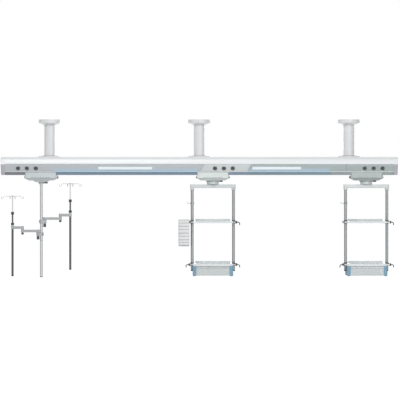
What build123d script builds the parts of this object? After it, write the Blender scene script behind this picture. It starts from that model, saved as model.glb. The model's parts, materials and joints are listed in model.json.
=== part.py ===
from build123d import *
import os
from math import atan2, degrees, hypot

# Ceiling-hung bed head unit: a supply beam on three ceiling columns, with an infusion
# column and two equipment racks that slide along it. Millimetres. X runs along the beam,
# the front looks along -Y, and Z = 0 is the ceiling at the middle column.

# Beam and its columns
beam_length = 4950.0
column_pitch = 1875.0
ceiling_to_beam = 470.0
cap_length = 50.0
sheet = 3.0
fit_gap = 0.3

# Beam section: half depths, and drops below the top of the beam
top_half = 150.0
shoulder_half = 186.0
shoulder_drop = 29.0
fascia_foot_half = 203.0
fascia_foot_drop = 90.0
nose_half = 208.0
nose_height = 10.5
lip_half = 172.0
lip_drop = 180.0
lip_thickness = 8.0
duct_half = 110.0
duct_wall = 5.0
rail_half = 150.0
rail_width = 60.0
rail_height = 37.0
rail_wall = 4.0
rail_slot = 16.0

# Columns and their ceiling fixings
column_radius = 68.5
column_wall = 5.0
plate_radius = 120.0
plate_thickness = 12.0
anchor_circle_radius = 100.0
anchor_hole_radius = 6.5
anchor_count = 6
service_hole_radius = 45.0
spigot_height = 40.0
cover_radius = 137.5
cover_side = 42.0
cover_cone = 26.0
foot_radius = 140.0
foot_thickness = 12.0
foot_circle_radius = 110.0
foot_bolt_radius = 5.0
foot_bolt_count = 4
foot_bolt_turn = 45.0

# Gas outlets, lamps and night lights on the front of the beam
outlet_groups = {"left": -2148.0, "middle": 307.0, "right": 2173.0}
outlet_spacing = 111.0
outlet_flange_radius = 28.0
outlet_body_radius = 22.0
outlet_stand = 18.0
outlet_socket_radius = 6.5
outlet_socket_depth = 18.0
outlet_rear_radius = 19.0
outlet_rear_depth = 30.0
outlet_stub_radius = 6.0
outlet_stub_depth = 44.0
pipe_radius = 7.5
pipe_pitch = 22.0
branch_radius = 5.0
lamps = {-922.0: 675.0, 965.0: 606.0}
lamp_window = 40.0
lamp_crown = 5.0
night_lights = {-910.0: 1760.0, 1120.0: 1040.0}
night_light_depth = 6.0
panel_seams = {-1254.0: 0.0, 34.0: 30.0, 621.0: 30.0, 1834.0: 0.0}
panel_seam_width = 2.5

# Carriages: where their swivel axes stand along the beam, and the parts they share
left_station = -1980.0
middle_station = 170.0
right_station = 2093.0
housing_length = 404.0
housing_depth = 316.0
housing_corner = 30.0
housing_band = 75.0
housing_taper = 28.0
housing_taper_inset = 50.0
housing_gap = 3.0
trolley_drop = 5.0
trolley_thickness = 10.0
shoe_length = 60.0
shoe_offset = 150.0
bearing_radius = 100.0
bearing_bore = 90.0
bearing_depth = 35.0
bearing_lip = 7.0
rack_neck_radius = 75.0
rack_neck_wall = 6.0
column_neck_wall = 11.0
dome_radius = 135.0
dome_depth = 20.0
lever_height = 16.0
lever_turn = -20.0
bumper_depth = 10.0
bumper_length = 90.0
bumper_height = 22.0
lever_ring_wall = 9.0
lever_grip_radius = 7.0
lever_grip_length = 44.0
running_gap = 0.6

# Infusion column with its two jointed arms and telescopic poles
tube_radius = 19.0
tube_wall = 2.5
tube_hang = 1505.0
end_cap_thickness = 8.0
neck_hang = 342.0
clamp_wall = 10.0
arm_gap = 3.0
elbow_offset = 237.0
pole_offset = 362.0
arm_pin_radius = 8.0
arm_half_width = 20.0
clamp_height = 44.0
inner_arm_height = 33.0
arm_hang = {"upper": 754.0, "lower": 910.0}
arm_side = {"upper": 1.0, "lower": -1.0}
pole_tube_length = {"upper": 727.0, "lower": 652.0}
outer_arm_height = 35.0
outer_half_width = 18.0
arm_spacer = 9.0
elbow_knob_radius = 16.5
elbow_knob_height = 29.0
clamp_knob_radius = 18.0
clamp_knob_height = 46.0
pin_head_radius = 14.0
pin_head = 4.0
pole_tube_radius = 14.0
pole_tube_wall = 2.0
pole_collar_radius = 19.0
pole_collar_height = 15.0
pole_stem_radius = 10.0
pole_stem_height = 116.0
pole_rod_radius = 7.0
pole_rod_rise = 212.0
pole_rod_inside = 460.0
knob_radius = 19.0
knob_height = 38.0
hook_bend = 96.0
hook_shoulder = 22.0
hook_slope = 70.0
hook_cradle = 11.0
hook_tip = 12.0
hook_wire_radius = 3.5
hook_turn = 18.0
hook_hub_radius = 12.0
groove_width = 3.0
groove_depth = 0.8

# Equipment racks
bar_end = 27.0
bar_depth = 76.0
bar_height = 46.0
bar_wall = 4.0
post_overhang = 6.0
post_radius = 19.0
post_wall = 2.0
post_hang = 1424.0
socket_wall = 6.0
socket_height = 24.0
shelf_width = 506.0
shelf_depth = 400.0
shelf_skirt = 25.0
upper_shelf_hang = 802.0
lower_shelf_hang = 1332.0
corner_size = 45.0
corner_round = 22.0
collar_wall = 5.0
collar_flange_reach = 9.0
collar_flange = 5.0
collar_above = 10.0
collar_below = 30.0
side_rail_thickness = 10.0
side_rail_height = 25.0
side_rail_gap = 7.0
side_rail_end = 172.0
side_rail_stand = 30.0
handle_radius = 5.5
handle_reach = 34.0
handle_drop = 36.0
post_hook_hang = 580.0
post_hook_reach = 58.0
post_hook_wire = 2.5
cabinet_height = 148.0
front_lip = 31.0
rear_upstand = 24.0
drawer_gap = 9.0
drawer_front_thickness = 18.0
drawer_side_gap = 2.0
drawer_flange = 19.0
drawer_height = 84.0
drawer_length = 329.0
drawer_wall = 2.0
runner_thickness = 3.0

# Wire basket on the middle rack's left rail
basket_width = 138.0
basket_depth = 220.0
basket_height = 330.0
basket_wall = 2.0
basket_slot = 12.0
basket_slot_pitch = 20.0
basket_rim = 8.0
basket_above_rail = 14.0

# Levels and half sizes that follow from the values above
beam_top = -ceiling_to_beam
body_length = beam_length - 2 * cap_length
nose_top = beam_top - fascia_foot_drop - duct_wall / 2 - fit_gap
lip_top = beam_top - lip_drop
lip_foot = lip_top - lip_thickness
rail_foot = lip_foot - rail_height
rail_centre = rail_half - rail_width / 2
column_places = (-column_pitch, 0.0, column_pitch)
stations = {"left": left_station, "middle": middle_station, "right": right_station}
trolley_top = rail_foot - trolley_drop
trolley_foot = trolley_top - trolley_thickness
bearing_foot = trolley_foot - bearing_depth
housing_top = lip_foot - housing_gap
band_foot = housing_top - housing_band
housing_foot = band_foot - housing_taper
neck_foot = beam_top - neck_hang
tube_foot = beam_top - tube_hang
inner_arm_top = {name: beam_top - hang for name, hang in arm_hang.items()}
column_neck_radius = tube_radius + column_neck_wall
clamp_radius = tube_radius + clamp_wall
clamp_offset = tube_radius + arm_half_width + arm_gap
clamps_foot = min(inner_arm_top.values()) - inner_arm_height - clamp_height - clamp_knob_height
column_groove_top = clamps_foot - 8 - 2 * fit_gap
post_offset = shelf_width / 2 + post_overhang
bar_length = 2 * (post_offset + bar_end)
post_top = neck_foot - bar_height
post_foot = beam_top - post_hang
socket_radius = post_radius + socket_wall
upper_shelf_top = beam_top - upper_shelf_hang
lower_shelf_top = beam_top - lower_shelf_hang
collar_radius = post_radius + collar_wall
collar_flange_radius = collar_radius + collar_flange_reach
post_hook_height = beam_top - post_hook_hang
cabinet_half = shelf_width / 2 - corner_size
drawer_half = cabinet_half - sheet - drawer_flange
side_rail_start = collar_flange_radius + side_rail_gap
basket_top = upper_shelf_top + basket_above_rail
side_rail_inner = shelf_width / 2 + side_rail_stand
side_rail_outer = side_rail_inner + side_rail_thickness

os.makedirs("parts", exist_ok=True)


def save(piece, label):
    """Name a finished piece and write it as its own file."""
    piece.part.label = label
    export_step(piece.part, f"parts/{label}.step")


def turned(points, x=0.0, y=0.0, mode=Mode.ADD):
    """Turn a closed (radius, height) outline about the upright axis through (x, y)."""
    upright = Plane(origin=(x, y, 0), x_dir=(1, 0, 0), z_dir=(0, -1, 0))
    with BuildSketch(upright) as outline:
        with BuildLine():
            Polyline(*points, close=True)
        make_face()
    revolve(outline.sketch, axis=Axis((x, y, 0), (0, 0, 1)), mode=mode)


def level(z, x=0.0, y=0.0):
    """A horizontal plane at height z, with its origin over (x, y)."""
    return Plane(origin=(x, y, z))


# The section of the beam is drawn once, on the plane at the left end of its long pieces.
section_plane = Plane.YZ.offset(-body_length / 2)

# The frame: a roof with sloping shoulders, and below it webs, the cover ledges and the lip.
# Each is a bar of its own, set a fit gap from the next, as the joints between them stay closed.
web_line = duct_half - duct_wall / 2
ledge_top = beam_top - fascia_foot_drop + duct_wall / 2
with BuildPart() as beam_frame:
    with BuildSketch(section_plane):
        with BuildLine():
            Polyline(
                (-top_half, beam_top),
                (top_half, beam_top),
                (shoulder_half, beam_top - shoulder_drop),
                (shoulder_half, beam_top - shoulder_drop - duct_wall),
                (shoulder_half - duct_wall, beam_top - shoulder_drop - duct_wall),
                (top_half - duct_wall / 2, beam_top - duct_wall),
                (-top_half + duct_wall / 2, beam_top - duct_wall),
                (-shoulder_half + duct_wall, beam_top - shoulder_drop - duct_wall),
                (-shoulder_half, beam_top - shoulder_drop - duct_wall),
                (-shoulder_half, beam_top - shoulder_drop),
                close=True,
            )
        make_face()
        for top, foot in ((beam_top - duct_wall, ledge_top), (ledge_top - duct_wall, lip_top)):
            for y in (-web_line, 0, web_line):
                with Locations((y, (top + foot) / 2)):
                    Rectangle(duct_wall, top - foot - 2 * fit_gap)
        with Locations((0, ledge_top - duct_wall / 2)):
            Rectangle(2 * (fascia_foot_half - sheet - 1), duct_wall)
        with Locations((0, lip_top - lip_thickness / 2)):
            Rectangle(2 * lip_half, lip_thickness)
    extrude(amount=body_length)
    for x in column_places:
        with BuildSketch(level(beam_top, x)):
            Circle(service_hole_radius)
            with PolarLocations(foot_circle_radius, foot_bolt_count, foot_bolt_turn):
                Circle(foot_bolt_radius + fit_gap)
        extrude(amount=-duct_wall, mode=Mode.SUBTRACT)
save(beam_frame, "beam_frame")

# Bowed fascia covers, one along the front and one along the back
fascia_top_half = shoulder_half + sheet
with BuildPart() as fascia_covers:
    with BuildSketch(section_plane):
        with BuildLine():
            outer = ThreePointArc(
                (-fascia_top_half, beam_top - shoulder_drop - 1),
                (-fascia_foot_half + 3.5, beam_top - 0.66 * fascia_foot_drop),
                (-fascia_foot_half, beam_top - fascia_foot_drop),
            )
            inner = ThreePointArc(
                (-fascia_top_half + sheet, beam_top - shoulder_drop - 1),
                (-fascia_foot_half + 3.5 + sheet, beam_top - 0.66 * fascia_foot_drop),
                (-fascia_foot_half + sheet, beam_top - fascia_foot_drop),
            )
            Line(outer @ 0, inner @ 0)
            Line(outer @ 1, inner @ 1)
        make_face()
    extrude(amount=body_length)
    mirror(about=Plane.XZ)
save(fascia_covers, "fascia_covers")

# The sloping face below the nose, and a plane that lies on its outer side
slope_top = nose_top - nose_height
slope_foot = lip_top + fit_gap
slope_foot_half = lip_half - 1
slope_run = nose_half - slope_foot_half
slope_fall = slope_top - slope_foot
slope_length = hypot(slope_run, slope_fall)
slope_plane = Plane(
    origin=(0, -(nose_half + slope_foot_half) / 2, (slope_top + slope_foot) / 2),
    x_dir=(1, 0, 0),
    z_dir=(0, -slope_fall, -slope_run),
)
sheet_across = sheet * slope_length / slope_fall
fold_rise = (sheet_across - sheet) * slope_fall / slope_run


def panel_section():
    """Outline of a lower panel on the front side: top return, nose and sloping face."""
    with BuildSketch(section_plane) as outline:
        with BuildLine():
            Polyline(
                (-nose_half + 5 * sheet, nose_top),
                (-nose_half, nose_top),
                (-nose_half, slope_top),
                (-slope_foot_half, slope_foot),
                (-slope_foot_half + sheet_across, slope_foot),
                (-nose_half + sheet, slope_top + fold_rise),
                (-nose_half + sheet, nose_top - sheet),
                (-nose_half + 5 * sheet, nose_top - sheet),
                close=True,
            )
        make_face()
    return outline.sketch


outlet_places = [
    centre + step * outlet_spacing for centre in outlet_groups.values() for step in (-1, 0, 1)
]

# Front panels: seams, lamp windows and outlet holes. The back panel is plain.
with BuildPart() as front_panels:
    extrude(panel_section(), amount=body_length)
    for x, lean in panel_seams.items():
        with Locations(Location((x, -nose_half, (slope_top + slope_foot) / 2), (0, lean, 0))):
            Box(panel_seam_width, nose_half / 2, 2 * slope_length, mode=Mode.SUBTRACT)
    with BuildSketch(slope_plane):
        for x, length in lamps.items():
            with Locations((x, 0)):
                Rectangle(length, lamp_window)
        for x in outlet_places:
            with Locations((x, 0)):
                Circle(outlet_rear_radius + fit_gap)
    extrude(amount=2 * sheet, both=True, mode=Mode.SUBTRACT)
save(front_panels, "front_panels")

with BuildPart() as rear_panel:
    extrude(panel_section(), amount=body_length)
    mirror(about=Plane.XZ, mode=Mode.REPLACE)
save(rear_panel, "rear_panel")

# Two slotted rails under the lip carry the carriages
with BuildPart() as carriage_rails:
    with BuildSketch(section_plane):
        for side in (-1, 1):
            with Locations((side * rail_centre, rail_foot + rail_height / 2)):
                Rectangle(rail_width, rail_height)
                Rectangle(rail_width - 2 * rail_wall, rail_height - 2 * rail_wall, mode=Mode.SUBTRACT)
            with Locations((side * rail_centre, rail_foot + rail_wall / 2)):
                Rectangle(rail_slot, 1.5 * rail_wall, mode=Mode.SUBTRACT)
    extrude(amount=body_length)
save(carriage_rails, "carriage_rails")

# Moulded end caps: the whole section with rounded outer edges, hollow behind
cap_edge = 6.0
with BuildPart() as end_caps:
    with BuildSketch(Plane.YZ.offset(body_length / 2)) as cap_outline:
        with BuildLine():
            Polyline(
                (0, beam_top),
                (top_half, beam_top),
                (fascia_top_half, beam_top - shoulder_drop),
                (fascia_foot_half + 2, beam_top - fascia_foot_drop),
                (nose_half + 1, slope_top),
                (lip_half + 1, lip_top),
                (lip_half + 1, lip_foot - 2),
                (rail_half + 3, rail_foot),
                (0, rail_foot),
                close=True,
            )
        make_face()
        mirror(about=Plane.YZ)
    extrude(amount=cap_length)
    chamfer(end_caps.faces().sort_by(Axis.X)[-1].edges(), cap_edge)
    with BuildSketch(Plane.YZ.offset(body_length / 2)):
        offset(cap_outline.sketch, amount=-1.4 * sheet)
    extrude(amount=cap_length - cap_edge - sheet, mode=Mode.SUBTRACT)
    mirror(about=Plane.YZ)
save(end_caps, "end_caps")

# Lamp diffusers stand crowned in the windows, with a flange behind the panel
with BuildPart() as lamp_diffusers:
    for x, length in lamps.items():
        with BuildSketch(slope_plane.offset(-sheet - fit_gap)):
            with Locations((x, 0)):
                Rectangle(length - 2 * fit_gap, lamp_window - 2 * fit_gap)
        extrude(amount=sheet + fit_gap + lamp_crown)
    crowns = lamp_diffusers.faces().filter_by(lambda face: face.normal_at().dot(slope_plane.z_dir) > 0.99)
    fillet(crowns.edges().filter_by(Axis.X), lamp_crown - 1)
    for x, length in lamps.items():
        with BuildSketch(slope_plane.offset(-sheet - fit_gap)):
            with Locations((x, 0)):
                Rectangle(length + 12, lamp_window + 12)
        extrude(amount=-sheet)
save(lamp_diffusers, "lamp_diffusers")

# Night lights along the front of the lip
with BuildPart() as night_light_strips:
    for x, length in night_lights.items():
        with Locations((x, -lip_half - night_light_depth / 2, lip_top - lip_thickness / 2)):
            Box(length, night_light_depth, lip_thickness)
    front_edges = night_light_strips.faces().group_by(Axis.Y)[0].edges()
    fillet(front_edges.filter_by(Axis.X), night_light_depth / 3)
save(night_light_strips, "night_light_strips")

# Gas outlets: wall flange, stepped body with a socket, and a stub behind for the pipe
with BuildPart() as gas_outlets:
    for x in outlet_places:
        base = slope_plane.shift_origin(slope_plane.from_local_coords(Vector(x, 0, 0)))
        with BuildSketch(base.offset(-outlet_stub_depth)):
            Circle(outlet_stub_radius)
        extrude(amount=outlet_stub_depth)
        with BuildSketch(base.offset(-outlet_rear_depth)):
            Circle(outlet_rear_radius)
        extrude(amount=outlet_rear_depth)
        with BuildSketch(base):
            Circle(outlet_flange_radius)
        extrude(amount=4)
        with BuildSketch(base):
            Circle(outlet_body_radius)
        extrude(amount=outlet_stand, taper=8)
        with BuildSketch(base.offset(outlet_stand)):
            Circle(outlet_socket_radius)
        extrude(amount=-outlet_socket_depth, mode=Mode.SUBTRACT)
save(gas_outlets, "gas_outlets")

# Three supply pipes along the duct wall, each with a riser to its own outlet in every group
pipe_line = -duct_half - pipe_radius - fit_gap
pipe_levels = [nose_top - 8.7 - pipe_pitch * step for step in (0, 1, 2)]
riser_line = pipe_line - pipe_radius - branch_radius - 1
riser_depth = (riser_line - slope_plane.origin.Y) / -slope_plane.z_dir.Y
with BuildPart() as gas_pipes:
    for index, height in enumerate(pipe_levels):
        with BuildSketch(section_plane):
            with Locations((pipe_line, height)):
                Circle(pipe_radius)
        extrude(amount=body_length)
        for centre in outlet_groups.values():
            x = centre + (index - 1) * outlet_spacing
            base = slope_plane.shift_origin(slope_plane.from_local_coords(Vector(x, 0, 0)))
            with BuildSketch(base.offset(-outlet_stub_depth - fit_gap)):
                Circle(branch_radius)
            extrude(amount=outlet_stub_depth + fit_gap - riser_depth)
            corner = base.offset(-riser_depth).origin
            with Locations((x, riser_line, (corner.Z + height) / 2)):
                Box(
                    2 * branch_radius + 4,
                    2 * branch_radius,
                    abs(corner.Z - height) + 2 * branch_radius + 2,
                )
            with BuildSketch(Plane.XZ.offset(-riser_line)):
                with Locations((x, height)):
                    Circle(branch_radius - 1)
            extrude(amount=riser_line - pipe_line)
save(gas_pipes, "gas_pipes")

# Ceiling plates with a service hole, anchor holes and a spigot that enters the column
column_inner = column_radius - column_wall
with BuildPart() as ceiling_plates:
    for x in column_places:
        with BuildSketch(level(0, x)):
            Circle(plate_radius)
            Circle(service_hole_radius, mode=Mode.SUBTRACT)
            with PolarLocations(anchor_circle_radius, anchor_count):
                Circle(anchor_hole_radius, mode=Mode.SUBTRACT)
        extrude(amount=-plate_thickness)
        with BuildSketch(level(-plate_thickness, x)):
            Circle(column_inner - fit_gap)
            Circle(column_inner - fit_gap - 6, mode=Mode.SUBTRACT)
        extrude(amount=-spigot_height)
save(ceiling_plates, "ceiling_plates")

# Covers that close round the columns under the ceiling
with BuildPart() as ceiling_covers:
    for x in column_places:
        throat = column_radius + fit_gap
        turned(
            [
                (cover_radius - sheet, 0),
                (cover_radius, 0),
                (cover_radius, -cover_side),
                (throat + 6, -cover_side - cover_cone),
                (throat, -cover_side - cover_cone),
                (throat, -cover_side - cover_cone + sheet),
                (cover_radius - sheet, -cover_side + 1),
            ],
            x,
        )
save(ceiling_covers, "ceiling_covers")

with BuildPart() as support_columns:
    for x in column_places:
        with BuildSketch(level(beam_top + foot_thickness, x)):
            Circle(column_radius)
            Circle(column_inner, mode=Mode.SUBTRACT)
        extrude(amount=ceiling_to_beam - foot_thickness - plate_thickness)
save(support_columns, "support_columns")

with BuildPart() as column_feet:
    for x in column_places:
        with BuildSketch(level(beam_top, x)):
            Circle(foot_radius)
            Circle(service_hole_radius, mode=Mode.SUBTRACT)
            with PolarLocations(foot_circle_radius, foot_bolt_count, foot_bolt_turn):
                Circle(foot_bolt_radius + fit_gap, mode=Mode.SUBTRACT)
        extrude(amount=foot_thickness)
    rims = column_feet.faces().group_by(Axis.Z)[-1].edges().filter_by(GeomType.CIRCLE)
    chamfer(rims.group_by(SortBy.RADIUS)[-1], 3)
save(column_feet, "column_feet")

# Hexagon bolts through the feet, with a nut under the roof of the frame
with BuildPart() as column_bolts:
    for x in column_places:
        for top, size, height in (
            (beam_top + foot_thickness, 1.8 * foot_bolt_radius, 1.3 * foot_bolt_radius),
            (beam_top - duct_wall, 1.8 * foot_bolt_radius, -1.6 * foot_bolt_radius),
        ):
            with BuildSketch(level(top, x)):
                with PolarLocations(foot_circle_radius, foot_bolt_count, foot_bolt_turn):
                    RegularPolygon(size, 6)
            extrude(amount=height)
        with BuildSketch(level(beam_top - duct_wall, x)):
            with PolarLocations(foot_circle_radius, foot_bolt_count, foot_bolt_turn):
                Circle(foot_bolt_radius)
        extrude(amount=duct_wall + foot_thickness)
save(column_bolts, "column_bolts")

# Carriages. Each has a trolley in the rails, a bearing, a housing and a brake lever.
shoe_half = rail_width / 2 - rail_wall - running_gap
shoe_foot = rail_foot + rail_wall + fit_gap
shoe_height = 22.0
house_wall = 4.0
inner_length = housing_length - 2 * house_wall
inner_depth = housing_depth - 2 * house_wall
floor_length = housing_length - 2 * housing_taper_inset
floor_depth = housing_depth - 2 * housing_taper_inset
flange_top = bearing_foot + bearing_lip + fit_gap
flange_thickness = 8.0
for name, station in stations.items():
    neck = column_neck_radius if name == "left" else rack_neck_radius
    under = housing_foot - (dome_depth if name == "left" else 0)
    ring_bore = neck + running_gap
    sleeve = ring_bore + house_wall

    with BuildPart() as trolley:
        with Locations((station, 0, trolley_top - trolley_thickness / 2)):
            Box(inner_length - 2 * housing_corner, inner_depth - 2 * fit_gap, trolley_thickness)
        with BuildSketch(level(trolley_top, station)):
            Circle(bearing_bore - 12)
        extrude(amount=-trolley_thickness, mode=Mode.SUBTRACT)
        for x in (station - shoe_offset, station + shoe_offset):
            for side in (-1, 1):
                with Locations((x, side * rail_centre, shoe_foot + shoe_height / 2)):
                    Box(shoe_length, 2 * shoe_half, shoe_height)
                with Locations((x, side * rail_centre, (shoe_foot + trolley_top) / 2)):
                    Box(shoe_length, rail_slot - 2 * running_gap, shoe_foot - trolley_top)
        turned(
            [
                (bearing_bore, trolley_foot),
                (bearing_radius, trolley_foot),
                (bearing_radius, bearing_foot),
                (neck + 1, bearing_foot),
                (neck + 1, bearing_foot + bearing_lip),
                (bearing_bore, bearing_foot + bearing_lip),
            ],
            station,
        )
    save(trolley, f"{name}_trolley")

    with BuildPart() as housing:
        with BuildSketch(level(housing_top, station)):
            RectangleRounded(housing_length, housing_depth, housing_corner)
        extrude(amount=-housing_band)
        with BuildSketch(level(band_foot, station)):
            RectangleRounded(housing_length, housing_depth, housing_corner)
        with BuildSketch(level(housing_foot, station)):
            RectangleRounded(floor_length, floor_depth, housing_corner)
        loft()
        with BuildSketch(level(housing_top, station)):
            RectangleRounded(inner_length, inner_depth, housing_corner - house_wall)
        extrude(amount=-housing_band, mode=Mode.SUBTRACT)
        with BuildSketch(level(band_foot, station)):
            RectangleRounded(inner_length, inner_depth, housing_corner - house_wall)
        with BuildSketch(level(housing_foot + house_wall, station)):
            RectangleRounded(floor_length, floor_depth, housing_corner - house_wall)
        loft(mode=Mode.SUBTRACT)
        with Locations((station, 0, rail_foot - 2 + housing_band)):
            Box(2 * housing_length, 2 * rail_half + 2, 2 * housing_band, mode=Mode.SUBTRACT)
        if name == "left":
            with Locations((station, 0, housing_foot + house_wall / 2)):
                Cylinder(dome_radius - 36, house_wall, mode=Mode.SUBTRACT)
            dish = [
                (dome_radius - 40, housing_foot + house_wall),
                (dome_radius - 32, housing_foot + house_wall),
                (dome_radius - 32, housing_foot),
                (dome_radius - 50, under + 5),
                (dome_radius - 66, under),
                (sleeve + fit_gap, under),
                (sleeve + fit_gap, under + house_wall),
                (dome_radius - 68, under + house_wall),
                (dome_radius - 54, under + house_wall + 5),
            ]
            turned(dish, station)
        else:
            with BuildSketch(level(housing_foot, station)):
                Circle(sleeve + fit_gap)
            extrude(amount=house_wall, mode=Mode.SUBTRACT)
        for side in (-1, 1):
            buffer_x = station + side * (housing_length / 2 + fit_gap + bumper_depth / 2)
            with Locations((buffer_x, 0, band_foot + 12)):
                Box(bumper_depth, bumper_length, bumper_height)
        fillet(housing.edges().filter_by(Axis.Y).group_by(Axis.X)[-1], 3)
        fillet(housing.edges().filter_by(Axis.Y).group_by(Axis.X)[0], 3)
    save(housing, f"{name}_housing")

    # The lever is a ring hung in the housing floor, with a grip towards the front right
    ring_top = under - fit_gap
    with BuildPart() as brake_lever:
        turned(
            [
                (ring_bore, ring_top - lever_height),
                (ring_bore + lever_ring_wall, ring_top - lever_height),
                (ring_bore + lever_ring_wall, ring_top),
                (sleeve, ring_top),
                (sleeve, under + house_wall + fit_gap),
                (ring_bore + lever_ring_wall, under + house_wall + fit_gap),
                (ring_bore + lever_ring_wall, under + house_wall + 3),
                (ring_bore, under + house_wall + 3),
            ],
            station,
        )
        rest = Location((station, 0, ring_top - lever_height / 2), (0, 0, lever_turn))
        with Locations(rest * Location((ring_bore + (lever_ring_wall + lever_grip_length) / 2 + 2, 0, 0), (0, 90, 0))):
            Cylinder(lever_grip_radius, lever_ring_wall + lever_grip_length - 4)
        fillet(brake_lever.edges().group_by(Axis.X)[-1], 3)
    save(brake_lever, f"{name}_brake_lever")

# Infusion column: a flanged head in the left bearing, the tube and its end cap
with BuildPart() as column_head:
    turned(
        [
            (tube_radius, flange_top + flange_thickness),
            (bearing_bore - running_gap, flange_top + flange_thickness),
            (bearing_bore - running_gap, flange_top),
            (column_neck_radius, flange_top),
            (column_neck_radius, neck_foot + 3),
            (column_neck_radius - 3, neck_foot),
            (tube_radius, neck_foot),
        ],
        left_station,
    )
save(column_head, "column_head")

# A stop groove below the lower clamp marks where the free end of the tube begins
with BuildPart() as iv_column_tube:
    with BuildSketch(level(tube_foot + end_cap_thickness, left_station)):
        Circle(tube_radius)
        Circle(tube_radius - tube_wall, mode=Mode.SUBTRACT)
    extrude(amount=flange_top + flange_thickness - tube_foot - end_cap_thickness)
    with BuildSketch(level(column_groove_top, left_station)):
        Circle(tube_radius + 1)
        Circle(tube_radius - groove_depth, mode=Mode.SUBTRACT)
    extrude(amount=-groove_width, mode=Mode.SUBTRACT)
save(iv_column_tube, "iv_column_tube")

with BuildPart() as column_end_cap:
    turned(
        [
            (0, tube_foot),
            (tube_radius - 3, tube_foot),
            (tube_radius, tube_foot + 3),
            (tube_radius, tube_foot + end_cap_thickness),
            (tube_radius - tube_wall - fit_gap, tube_foot + end_cap_thickness),
            (tube_radius - tube_wall - fit_gap, tube_foot + 3 * end_cap_thickness),
            (0, tube_foot + 3 * end_cap_thickness),
        ],
        left_station,
    )
save(column_end_cap, "column_end_cap")

# Clamps round the tube, each with its own knob below
with BuildPart() as arm_clamps:
    for level_name, side in arm_side.items():
        top = inner_arm_top[level_name] - inner_arm_height - fit_gap
        with BuildSketch(level(top, left_station)):
            Circle(clamp_radius)
            with Locations((side * clamp_offset, 0)):
                Circle(clamp_radius - 7)
            make_hull()
            Circle(tube_radius, mode=Mode.SUBTRACT)
        extrude(amount=-clamp_height)
        turned(
            [
                (0, top - clamp_height - fit_gap - clamp_knob_height),
                (clamp_knob_radius - 3, top - clamp_height - fit_gap - clamp_knob_height),
                (clamp_knob_radius, top - clamp_height - fit_gap - clamp_knob_height + 3),
                (clamp_knob_radius, top - clamp_height - fit_gap - 6),
                (clamp_knob_radius - 4, top - clamp_height - fit_gap),
                (0, top - clamp_height - fit_gap),
            ],
            left_station + side * clamp_offset,
        )
save(arm_clamps, "arm_clamps")

# Outline of one hook wire: it runs out level, slopes down, and turns up round a cradle
with BuildLine() as hook_outline:
    level_run = Line((hook_hub_radius - 5, 0), (hook_bend, 0))
    bow = JernArc(level_run @ 1, level_run % 1, hook_shoulder, -hook_slope)
    fall = Line(bow @ 1, bow @ 1 + (bow % 1) * hook_cradle)
    cradle = JernArc(fall @ 1, fall % 1, hook_cradle, 90 + hook_slope)
    Line(cradle @ 1, cradle @ 1 + (cradle % 1) * hook_tip)

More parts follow.
